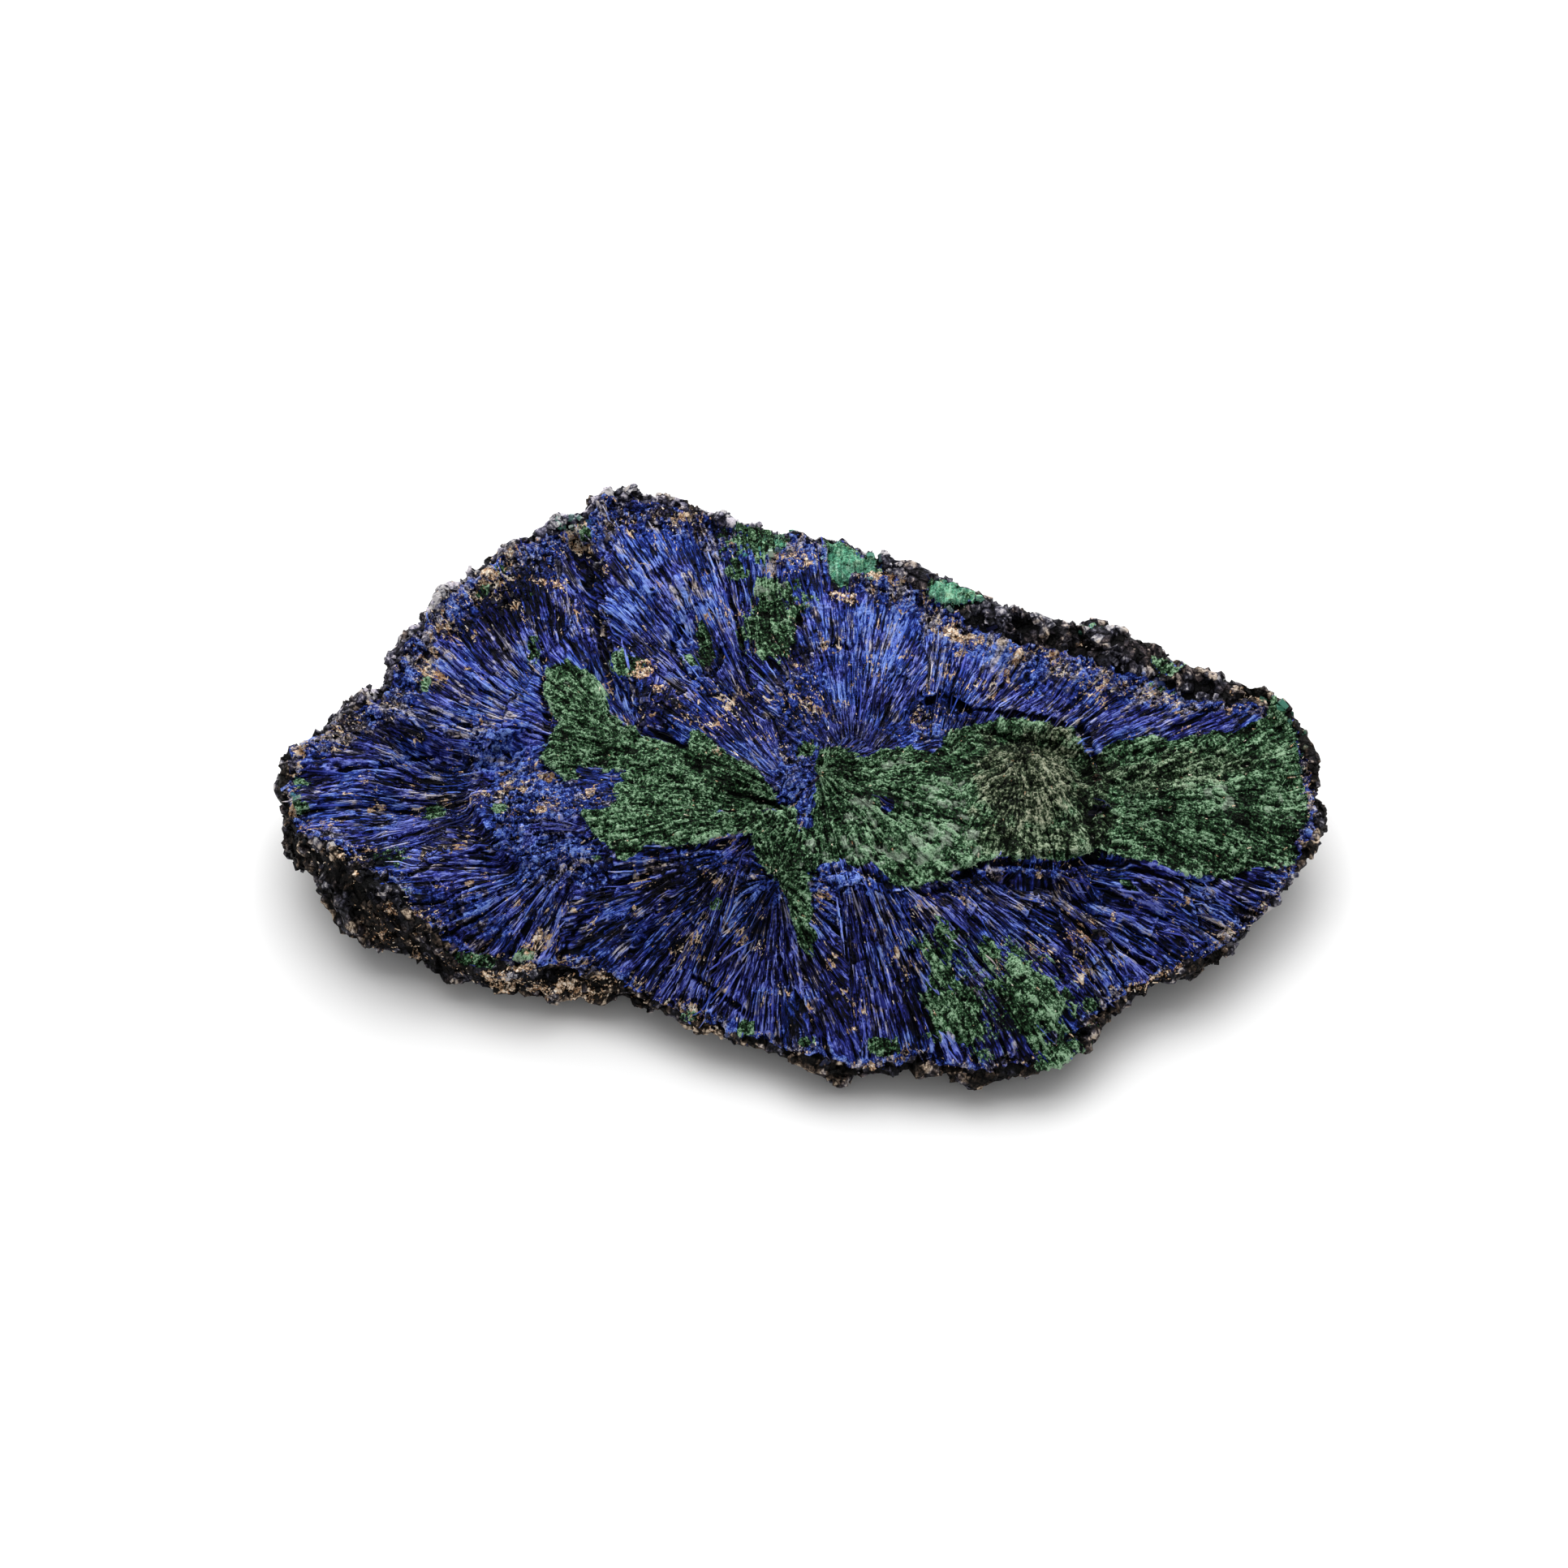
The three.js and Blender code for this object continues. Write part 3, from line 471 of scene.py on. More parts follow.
def splinters(grain, width, length, seed):
    """Heights of long flat splinters that lie side by side along the fibres, with broken ends."""
    across = grain[:, 0] / width + 0.15 * noise(grain, length, seed)
    column = np.floor(across)
    offset = scatter(np.stack([column, grain[:, 2], column], axis=1), seed + 1)
    along = grain[:, 1] / length + 3 * offset
    row = np.floor(along)
    cell = np.stack([column, row, grain[:, 2]], axis=1)
    slope = scatter(cell, seed + 2) * (along - row - 0.5)
    groove = np.abs(2 * (across - column) - 1) ** 6
    return 0.8 * scatter(cell, seed + 3) + 0.6 * slope - 0.8 * groove


# Building meshes.

DOUBLES = 1e-6  # Metres within which two vertices are one.
FACE_MARGIN = 12  # Pixels round the broken face's outline that are cut as finely as the face.
UPPER_TURN, WALL_TURN = 0.1, -0.35  # The least upward part of a normal on the broken face and on the wall.
FEWER_CUTS = 5  # By how much the wall has fewer cuts than the broken face.
RESTING = 0.01  # Millimetres up to which a point rests on the ground.
CLEAR = 0.02  # Millimetres that every other point stays above the ground.
FACET_ROUNDS, GROUND_ROUNDS, NEAR_ROUNDS, WIDE_ROUNDS = 14, 60, 5, 40  # Rounds of smoothing.
MOST_TRIANGLES = 200000


def fine_skin(node, cuts):
    """The solid's mesh with doubles merged, cut finest on the broken face and coarsest underneath, in a bmesh."""
    skin = bmesh.new()
    skin.from_mesh(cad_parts[node].data)
    bmesh.ops.remove_doubles(skin, verts=skin.verts, dist=DOUBLES)
    skin.normal_update()
    middles = np.array([face.calc_center_median() for face in skin.faces]) / MM
    near_face = distance_inside(picture_place(middles), FACE) > -FACE_MARGIN
    wall = {edge for face in skin.faces if face.normal.z > WALL_TURN for edge in face.edges}
    upper = {
        edge
        for face, near in zip(skin.faces, near_face) if near and face.normal.z > UPPER_TURN
        for edge in face.edges
    }
    lower = [edge for edge in skin.edges if edge not in wall and edge not in upper]
    wall -= upper
    bmesh.ops.subdivide_edges(skin, edges=lower, cuts=1, use_grid_fill=True)
    for group, count in ((wall, max(cuts - FEWER_CUTS, 1)), (upper, cuts)):
        edges = [edge for edge in skin.edges if edge.is_valid and edge in group]
        bmesh.ops.subdivide_edges(skin, edges=edges, cuts=count, use_grid_fill=True)
    bmesh.ops.triangulate(skin, faces=skin.faces)
    skin.normal_update()
    return skin


def smoothed(points, edges, rounds, weight):
    """Points drawn towards the mean of their neighbours, a few times over. weight is one number or one for each."""
    weight = np.reshape(weight, (-1, 1))
    count = len(points)
    ends = np.concatenate([edges[:, 0], edges[:, 1]])
    others = np.concatenate([edges[:, 1], edges[:, 0]])
    degree = np.bincount(ends, minlength=count)
    for _ in range(rounds):
        columns = [np.bincount(ends, column[others], count) / degree for column in points.T]
        points = points + weight * (np.stack(columns, axis=1) - points)
    return points


def vertex_array(skin, read):
    """One row for each vertex of a bmesh."""
    return np.array([read(vertex) for vertex in skin.verts], float)


def moved_normals(skin, points):
    """Moves the vertices of a bmesh to points in millimetres and returns their normals."""
    for vertex, point in zip(skin.verts, points * MM):
        vertex.co = point
    skin.normal_update()
    return vertex_array(skin, lambda vertex: vertex.normal)


def stepped_ground(skin, edges, depth):
    """Smooths a bmesh and raises its steps. Returns its points in millimetres, its normals, and which rest."""
    start = vertex_array(skin, lambda vertex: vertex.co) / MM
    resting = start[:, 2] < RESTING
    points = smoothed(start, edges, FACET_ROUNDS, np.where(resting, 0.0, 0.5))
    up = moved_normals(skin, points)
    seen = ease(0.2, 0.6, -(up @ FORWARD)) * ease(1, 4, points[:, 2])
    stepped = step_field(picture_place(points), STEPS, noise(points, 2.4, 5)) * seen * depth
    points = points + stepped[:, None] * up
    return points, moved_normals(skin, points), resting


def skin_masks(points, normals, grain):
    """What the stone is made of at each point: a dictionary of shares from 0 to 1."""
    places = picture_place(points)
    upward = 0.2 + 0.8 * ease(0.1, 0.6, normals[:, 2])
    leftward = 1 - 0.8 * ease(900, 1150, places[:, 0])
    fine = noise(points, 1.3, 1) * 0.7 + noise(points, 3.1, 2) * 0.7 + noise(points, 0.6, 3) * 0.3
    drawn = fine + 0.9 * splinters(grain, 1.7, 9, 50)
    seen = ease(0.0, 0.25, -(normals @ FORWARD))
    edge = distance_inside(places, FACE) / PIXELS_PER_MM
    on_face = ease(-0.5, 0.9, edge + 0.9 * fine) * seen
    vein = distance_inside(places, VEIN) / PIXELS_PER_MM
    malachite = ease(-0.25, 0.35, vein + 0.4 * fine + 0.3 * drawn)
    malachite *= 1 - spot_field(places, AZURITE_IN_VEIN, fine)
    malachite = np.maximum(malachite, spot_field(places, MALACHITE_SPOTS, drawn)) * seen
    crust = (1 - on_face) * (1 - malachite)
    behind = ease(960, 880, places[:, 1] + 0.2 * (places[:, 0] - 1200).clip(0))
    crumbly = on_face * ease(2.5 + 5 * behind, 1 + 2 * behind, edge + 1.5 * fine)
    granular = np.maximum(spot_field(places, GRANULAR_SPOTS, fine) * seen, crumbly)
    clay = spot_field(places, CLAY_SPOTS, 1.4 * fine) * seen
    azurite = (1 - malachite) * (1 - crust)
    return {
        "malachite": malachite,
        "azurite": azurite,
        "crust": crust,
        "turquoise": spot_field(places, TURQUOISE_SPOTS, fine) * seen,
        "pale": spot_field(places, PALE_SPOTS, fine) * seen,
        "olive": spot_field(places, OLIVE_SPOTS, fine) * seen,
        "clay": clay,
        "fibres": azurite * (1 - 0.75 * granular) * (1 - clay),
        "rusty": spot_field(places, RUSTY_SPOTS, fine) * seen,
        # Painted sheen, with a painted highlight along the brow of a step.
        "sheen": np.maximum(spot_field(places, PAINTED_SHEEN_SPOTS, fine), 1.4 * line_field(places, PAINTED_HIGHLIGHT_BROWS)) * seen,
        "crack": line_field(places + 4 * fine[:, None], CRACKS) * seen,
        # Painted shade, from the painted shade spots.
        "dark": spot_field(places, PAINTED_SHADE_SPOTS, fine) * seen,
        "granular": granular,
        "crumbly": crumbly,
        # rim: crust at the top and back, fading to the right, and stronger where it faces up. It makes the crust
        # paler, painted light, over the real lavender grey of the crystals there.
        "rim": behind * crust * leftward * upward,
        "ropy": ease(1000, 1080, places[:, 1]),
        "reach": np.clip(np.minimum(np.abs(vein) + 1.2, edge + 1.2), 0.4, 20) * MM,
    }


def skin_relief(points, masks, grain, depth):
    """How far each point stands out of the smoothed skin, in millimetres."""
    fibrous = 1 - masks["granular"]
    uneven = 0.75 + 0.45 * noise(points, 11, 94)
    ridges = splinters(grain, 4.2, 17, 10) * 0.55
    ribs = splinters(grain, 2.1, 9, 20) * 0.36
    strands = splinters(grain, 1.05, 5, 30) * 0.24 + splinters(grain, 0.55, 3, 35) * 0.16
    azurite = (ridges + ribs * (0.4 + 0.6 * fibrous)) * (uneven + 0.5 * masks["ropy"]) + strands * fibrous
    grains = facets(points, 2.4, 60, 1.0) * 0.4 + facets(points, 1.2, 70, 1.0) * 0.3 + noise(points, 0.7, 71) * 0.2
    azurite += masks["granular"] * grains + noise(points, 1.6, 73) * 0.12 + noise(points, 0.6, 75) * 0.1
    tufts = noise(points, 6, 7) * 0.8 + noise(points, 2.6, 8) * 0.4 - np.abs(noise(points, 1.6, 9)) * 0.5
    tufts += np.abs(noise(points, 1.3, 76)) * 0.4 + noise(points, 0.6, 74) * 0.25
    needles = splinters(grain, 1.2, 4, 37) * 0.3 + splinters(grain, 0.6, 2.5, 38) * 0.18
    malachite = tufts + ridges * 0.6 + needles + 0.3
    blocks = facets(points, 4.4, 20, 1.2) * 0.8 + facets(points, 2.2, 40, 1.1) * 0.5 + noise(points, 0.7, 72) * 0.1
    relief = masks["azurite"] * azurite + masks["malachite"] * malachite + masks["crust"] * blocks
    lumps = facets(points, 1.0, 80, 1.0) * 0.3 - 0.1
    relief += masks["clay"] * (1 - masks["malachite"]) * (lumps - 0.4 * relief)
    return (relief - 1.1 * masks["crack"]) * depth


def add_relief_masks(masks, relief, sunk, edges):
    """Adds the shares of hollow and ridge, from the relief near by and farther off and from the sunk ground."""
    near = smoothed(relief[:, None], edges, NEAR_ROUNDS, 0.6)[:, 0]
    wide = smoothed(near[:, None], edges, WIDE_ROUNDS, 0.8)[:, 0]
    # The finishes darken the stone where it is hollow and make it paler where it stands out: painted shade and
    # painted highlight. The hollows also draw clay flecks.
    hollow = ease(0.05, 0.8, wide - relief) + 0.7 * ease(0.02, 0.25, near - relief)
    masks["hollow"] = np.clip(hollow, 0, 1) + 0.7 * ease(0.05, 1.2, sunk)
    ridge = ease(0.1, 0.8, relief - wide) + 0.7 * ease(0.02, 0.25, relief - near)
    masks["ridge"] = np.clip(ridge, 0, 1) + 0.5 * ease(0.05, 1.0, -sunk)


def add_scatter_masks(masks, points, normals):
    """Adds the shares that say where clay flecks and rim crystals fall."""
    loose = masks["azurite"] * (0.01 + 0.05 * masks["hollow"] + 0.2 * masks["crumbly"]) + masks["malachite"] * 0.02
    masks["flecks"] = np.clip(masks["clay"] + loose, 0, 1)
    side = masks["crust"] * ease(-0.6, -0.2, normals[:, 2]) * ease(1.5, 4, points[:, 2])
    masks["crystals"] = np.clip(side + masks["azurite"] * masks["granular"] * 0.6, 0, 1)


def add_piece(name, mesh):
    """Links a finished mesh as a piece that rides on the stone's body."""
    triangles = sum(len(polygon.vertices) - 2 for polygon in mesh.polygons)
    print(f"{name}: {triangles} triangles")
    if not 0 < triangles < MOST_TRIANGLES:
        raise RuntimeError(f"{name} has {triangles} triangles")
    piece = bpy.data.objects.new(name, mesh)
    bpy.context.scene.collection.objects.link(piece)
    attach(piece, "root")
    return piece


def mesh_part(name, points, faces, shares, vectors):
    """A mesh of some of the skin's triangles, with the numbers and vectors that belong to its points."""
    used, corners = np.unique(faces, return_inverse=True)
    mesh = bpy.data.meshes.new(name)
    mesh.from_pydata((points[used] * MM).tolist(), [], corners.reshape(-1, 3).tolist())
    for label, values in shares.items():
        mesh.attributes.new(label, "FLOAT", "POINT").data.foreach_set("value", values[used].astype(np.float32))
    for label, values in vectors.items():
        attribute = mesh.attributes.new(label, "FLOAT_VECTOR", "POINT")
        attribute.data.foreach_set("vector", values[used].astype(np.float32).ravel())
    return mesh


# Nodes, for trees of either kind.


class Value:
    """An output of a node. Sums with it, such as 0.5 * value + 1, add Math nodes to its tree."""

    def __init__(self, nodes, socket):
        self.nodes = nodes
        self.socket = socket

    def __add__(self, other):
        return self.nodes.maths("ADD", self, other)

    def __sub__(self, other):
        return self.nodes.maths("SUBTRACT", self, other)

    def __rsub__(self, other):
        return self.nodes.maths("SUBTRACT", other, self)

    def __mul__(self, other):
        return self.nodes.maths("MULTIPLY", self, other)

    def __neg__(self):
        return self * -1

    __radd__ = __add__
    __rmul__ = __mul__


class Nodes:
    """A node tree that is being built."""

    def __init__(self, tree):
        self.tree = tree

    def node(self, kind, inputs=(), **settings):
        """Adds a node. inputs maps a socket's name or number to a plain value or to a Value."""
        node = self.tree.nodes.new(kind)
        for name, value in settings.items():
            setattr(node, name, value)
        for name, value in dict(inputs).items():
            self.feed(node.inputs[name], value)
        return node

    def feed(self, socket, value):
        """Links a socket to a Value, or sets it to a plain value."""
        if isinstance(value, Value):
            self.tree.links.new(value.socket, socket)
        else:
            socket.default_value = value

    def output(self, which, kind, inputs=(), **settings):
        """Adds a node and returns one of its outputs, by name or number."""
        return Value(self, self.node(kind, inputs, **settings).outputs[which])

    def maths(self, operation, first, second=0.0):
        """The output of a Math node."""
        return self.output(0, "ShaderNodeMath", {0: first, 1: second}, operation=operation)

    def vectors(self, operation, first, second):
        """The output of a Vector Math node."""
        return self.output(0, "ShaderNodeVectorMath", {0: first, 1: second}, operation=operation)

    def scaled(self, vector, factor):
        """A vector made longer or shorter."""
        return self.output(0, "ShaderNodeVectorMath", {0: vector, "Scale": factor}, operation="SCALE")

    def between(self, share, low, high):
        """A number that runs from low to high while share runs from 0 to 1."""
        inputs = {"Factor": share, "A": low, "B": high}
        return self.output("Result", "ShaderNodeMix", inputs, data_type="FLOAT")


# Inputs that both scattering trees have: name, kind of socket, and default. Sizes are in millimetres and angles
# in degrees.
SCATTER_INPUTS = [
    ("Where", "NodeSocketString", ""),
    ("Number per square millimetre", "NodeSocketFloat", 1.0),
    ("Seed", "NodeSocketInt", 0),
    ("Sides", "NodeSocketInt", 3),
    ("Shortest", "NodeSocketFloat", 2.0),
    ("Longest", "NodeSocketFloat", 6.0),
    ("Thinnest", "NodeSocketFloat", 0.3),
    ("Thickest", "NodeSocketFloat", 0.8),
    ("Stray", "NodeSocketFloat", 5.0),
    ("Sink", "NodeSocketFloat", 0.2),
    ("Material", "NodeSocketMaterial", None),
]
FIBRE_INPUTS = [
    ("Points", "NodeSocketInt", 5),
    ("Lift", "NodeSocketFloat", 0.4),
    ("Wave", "NodeSocketFloat", 0.3),
    ("Room", "NodeSocketFloat", 1.8),
]
GRAIN_INPUTS = [
    ("Tip", "NodeSocketFloat", 0.6),
    ("Flatness", "NodeSocketFloat", 1.0),
    ("Lowest Rise", "NodeSocketFloat", 0.0),
    ("Highest Rise", "NodeSocketFloat", 5.0),
    ("Roll", "NodeSocketFloat", 30.0),
]


class Scatter(Nodes):
    """The part that both scattering trees share: points on the skin, each with its direction and size."""

    def __init__(self, name, more_inputs):
        super().__init__(bpy.data.node_groups.new(name, "GeometryNodeTree"))
        self.tree.interface.new_socket("Skin", in_out="INPUT", socket_type="NodeSocketGeometry")
        self.tree.interface.new_socket("Pieces", in_out="OUTPUT", socket_type="NodeSocketGeometry")
        for label, kind, default in SCATTER_INPUTS + more_inputs:
            socket = self.tree.interface.new_socket(label, in_out="INPUT", socket_type=kind)
            if default is not None:
                socket.default_value = default
        self.given = {socket.name: Value(self, socket) for socket in self.node("NodeGroupInput").outputs}
        density = self.named(self.given["Where"]) * self.given["Number per square millimetre"] * MM**-2
        inputs = {"Mesh": self.given["Skin"], "Density": density, "Seed": self.given["Seed"]}
        spread = "GeometryNodeDistributePointsOnFaces"
        self.points = self.output("Points", spread, inputs, distribute_method="RANDOM")
        align = "FunctionNodeAlignRotationToVector"
        along = self.output(0, align, {"Vector": self.named("fibre", "FLOAT_VECTOR")}, axis="X")
        inputs = {"Rotation": along, "Vector": self.named("up", "FLOAT_VECTOR")}
        self.flat = self.output(0, align, inputs, axis="Z", pivot_axis="X")
        mostly_short = self.maths("POWER", self.random(0.0, 1.0, 4), 1.6)
        self.length = self.between(mostly_short, self.given["Shortest"], self.given["Longest"])
        self.width = self.random(self.given["Thinnest"], self.given["Thickest"], 5) * MM
        self.stray = self.random(-self.given["Stray"], self.given["Stray"], 1)

    def named(self, name, kind="FLOAT"):
        """A value stored in the skin or in the pieces."""
        return self.output("Attribute", "GeometryNodeInputNamedAttribute", {"Name": name}, data_type=kind)

    def random(self, low, high, step):
        """A random number for each point. step is added to the seed, and is another number for each use."""
        inputs = {"Min_001": low, "Max_001": high, "Seed": self.given["Seed"] + step}
        node = self.node("FunctionNodeRandomValue", data_type="FLOAT")
        for socket in node.inputs:
            if socket.identifier in inputs:
                self.feed(socket, inputs[socket.identifier])
        return Value(self, node.outputs[1])

    def turned(self, roll, rise, stray):
        """The rotation along the fibres, with a further roll, rise and stray in degrees."""
        angles = {"X": roll, "Y": -rise, "Z": stray}
        angles = {axis: self.maths("RADIANS", angle) for axis, angle in angles.items()}
        change = self.output(0, "FunctionNodeEulerToRotation", {0: self.output(0, "ShaderNodeCombineXYZ", angles)})
        inputs = {"Rotation": self.flat, "Rotate By": change}
        return self.output(0, "FunctionNodeRotateRotation", inputs, rotation_space="LOCAL")

    def placed(self, points, piece, rotation, size):
        """A piece at each point, with its tone and stain stored."""
        inputs = {"Points": points, "Instance": piece, "Rotation": rotation, "Scale": size}
        pieces = self.output(0, "GeometryNodeInstanceOnPoints", inputs)
        for name, step in (("tone", 8), ("stain", 9)):
            pieces = self.stored(pieces, name, self.random(0.0, 1.0, step))
        return pieces

    def stored(self, pieces, name, value):
        """The pieces with a number stored for each."""
        inputs = {"Geometry": pieces, "Name": name, "Value": value}
        settings = {"domain": "INSTANCE", "data_type": "FLOAT"}
        return self.output(0, "GeometryNodeStoreNamedAttribute", inputs, **settings)

    def realized(self, pieces):
        """The instances made real."""
        return self.output(0, "GeometryNodeRealizeInstances", {"Geometry": pieces})

    def finish(self, pieces):
        """Ends the tree and returns it."""
        inputs = {"Geometry": self.realized(pieces), "Material": self.given["Material"]}
        self.node("NodeGroupOutput", {"Pieces": self.output(0, "GeometryNodeSetMaterial", inputs)})
        return self.tree


def fibre_tree():
    """A tree of thin fibres that follow the skin and taper to both ends."""
    it = Scatter("Fibres on the skin", FIBRE_INPUTS)
    line = it.output(0, "GeometryNodeCurvePrimitiveLine", {"Start": (-0.5, 0, 0), "End": (0.5, 0, 0)})
    line = it.output(0, "GeometryNodeResampleCurve", {"Curve": line, "Count": it.given["Points"]})
    flipped = it.maths("ROUND", it.random(0.0, 1.0, 11)) * 180
    rotation = it.turned(0.0, 0.0, it.stray + flipped)
    room = it.named("reach") * (1 / MM) * it.given["Room"]
    length = it.maths("MINIMUM", it.length, room) * MM
    size = it.output(0, "ShaderNodeCombineXYZ", {"X": length, "Y": 1.0, "Z": 1.0})
    lines = it.placed(it.points, line, rotation, size)
    lines = it.stored(lines, "width", it.width)
    lines = it.stored(lines, "lift", it.random(0.0, it.given["Lift"], 12) * MM)
    lines = it.stored(lines, "roll", it.random(-3.14, 3.14, 13))
    lines = it.realized(lines)
    here = it.output(0, "GeometryNodeInputPosition")
    along = it.output("Factor", "GeometryNodeSplineParameter")
    inputs = {"Target": it.given["Skin"], "Source Position": here}
    near = it.output("Position", "GeometryNodeProximity", inputs)
    inputs = {"Mesh": it.given["Skin"], "Value": it.named("up", "FLOAT_VECTOR"), "Sample Position": here}
    up = it.output("Value", "GeometryNodeSampleNearestSurface", inputs, data_type="FLOAT_VECTOR")
    raised = it.scaled(up, it.between(along, it.given["Sink"] * -MM, it.named("lift")))
    cloud = it.output("Color", "ShaderNodeTexNoise", {"Vector": here, "Scale": 300.0, "Detail": 1.0})
    waved = it.scaled(it.vectors("SUBTRACT", cloud, (0.5, 0.5, 0.5)), it.given["Wave"] * MM)
    inputs = {"Geometry": lines, "Position": near, "Offset": it.vectors("ADD", raised, waved)}
    lines = it.output(0, "GeometryNodeSetPosition", inputs)
    lines = it.output(0, "GeometryNodeSetCurveTilt", {"Curve": lines, "Tilt": it.named("roll")})
    hump = along * (1.0 - along)
    taper = it.maths("MINIMUM", it.maths("MAXIMUM", hump * 6.0, 0.3), 1.0)
    ring = it.output(0, "GeometryNodeCurvePrimitiveCircle", {"Resolution": it.given["Sides"], "Radius": 1.0})
    inputs = {"Curve": lines, "Profile Curve": ring, "Scale": it.named("width") * taper, "Fill Caps": True}
    return it.finish(it.output(0, "GeometryNodeCurveToMesh", inputs))


def grain_tree():
    """A tree of short blunt prisms: crystals, tufts and flecks."""
    it = Scatter("Grains on the skin", GRAIN_INPUTS)
    rise = it.random(it.given["Lowest Rise"], it.given["Highest Rise"], 2)
    roll = it.random(-it.given["Roll"], it.given["Roll"], 3)
    height = it.width * (it.random(0.7, 1.2, 6) * it.given["Flatness"])
    size = it.output(0, "ShaderNodeCombineXYZ", {"X": it.length * MM, "Y": it.width, "Z": height})
    sunk = it.random(0.0, it.given["Sink"], 7) * -MM
    inputs = {"Geometry": it.points, "Offset": it.scaled(it.named("up", "FLOAT_VECTOR"), sunk)}
    points = it.output(0, "GeometryNodeSetPosition", inputs)
    inputs = {
        "Vertices": it.given["Sides"],
        "Radius Top": it.given["Tip"] * 0.5,
        "Radius Bottom": 0.5,
        "Depth": 1.0,
    }
    prism = it.output("Mesh", "GeometryNodeMeshCone", inputs)
    inputs = {"Geometry": prism, "Translation": (-0.5, 0, 0), "Rotation": (0, math.pi / 2, 0)}
    prism = it.output(0, "GeometryNodeTransform", inputs)
    return it.finish(it.placed(points, prism, it.turned(roll, rise, it.stray), size))


# What is stored in the skin only to build the pieces.
UNUSED_ON_PIECES = ("fibre", "up", "crack", "reach", "width", "lift", "roll", "fibres", "flecks", "crystals")


def scatter_pieces(name, tree, inputs):
    """Scatters one kind of piece over the stone and keeps the result as a plain mesh."""
    base = bpy.data.objects.new(name + "_base", bpy.data.meshes["skin"].copy())
    bpy.context.scene.collection.objects.link(base)
    modifier = base.modifiers.new("Scatter", "NODES")
    modifier.node_group = tree
    sockets = {item.name: item.identifier for item in tree.interface.items_tree if item.in_out == "INPUT"}
    for label, value in inputs.items():
        modifier[sockets[label]] = value
    mesh = bpy.data.meshes.new_from_object(base.evaluated_get(bpy.context.evaluated_depsgraph_get()))
    mesh.name = name
    bpy.data.objects.remove(base)
    for unused in UNUSED_ON_PIECES:
        if unused in mesh.attributes:
            mesh.attributes.remove(mesh.attributes[unused])
    add_piece(name, mesh)


# Finishes. A ramp is a list of places from 0 to 1 and a list of their colours, from the darkest to the palest.

EVEN = (0.0, 0.2, 0.4, 0.6, 0.8, 1.0)
LATE = (0.0, 0.3, 0.5, 0.7, 0.85, 1.0)
BLUE = (EVEN, [
    (0.001, 0.001, 0.004), (0.004, 0.004, 0.024), (0.009, 0.011, 0.085),
    (0.022, 0.029, 0.23), (0.064, 0.083, 0.46), (0.22, 0.27, 0.74),
])
COBALT = (EVEN, [
    (0.001, 0.002, 0.006), (0.003, 0.006, 0.034), (0.007, 0.015, 0.115),
    (0.018, 0.04, 0.3), (0.052, 0.115, 0.55), (0.22, 0.34, 0.8),
])
DUSTY = (EVEN, [
    (0.001, 0.001, 0.002), (0.007, 0.006, 0.012), (0.025, 0.024, 0.042),
    (0.075, 0.072, 0.115), (0.2, 0.19, 0.27), (0.58, 0.54, 0.6),
])
GREEN = (EVEN, [
    (0.001, 0.002, 0.001), (0.004, 0.013, 0.005), (0.016, 0.043, 0.018),
    (0.027, 0.088, 0.034), (0.082, 0.212, 0.09), (0.38, 0.59, 0.38),
])
OLIVE = (EVEN, [
    (0.001, 0.002, 0.001), (0.006, 0.01, 0.004), (0.024, 0.037, 0.018),
    (0.062, 0.094, 0.048), (0.165, 0.21, 0.125), (0.52, 0.52, 0.38),
])
DARK = (LATE, [
    (0.001, 0.001, 0.001), (0.004, 0.004, 0.006), (0.014, 0.014, 0.02),
    (0.06, 0.058, 0.08), (0.16, 0.155, 0.19), (0.48, 0.46, 0.47),
])
BROWN = (LATE, [
    (0.001, 0.001, 0.001), (0.005, 0.004, 0.003), (0.018, 0.013, 0.01),
    (0.07, 0.048, 0.036), (0.2, 0.15, 0.11), (0.56, 0.45, 0.34),
])
CLAY = ((0.0, 0.2, 0.4, 0.65, 1.0), [
    (0.03, 0.016, 0.01), (0.17, 0.085, 0.045), (0.45, 0.25, 0.13), (0.77, 0.57, 0.39), (0.96, 0.89, 0.79),
])
PALE_GREEN = (0.49, 0.6, 0.48)
TURQUOISE = (0.17, 0.62, 0.4)
PALE_MINT = (0.45, 0.82, 0.64)
RUST = (0.4, 0.17, 0.07)

STONE_SPECULAR = 0.08


def rgba(colour):
    """A colour with its alpha. A Value stays as it is."""
    return colour if isinstance(colour, Value) else (*colour, 1)


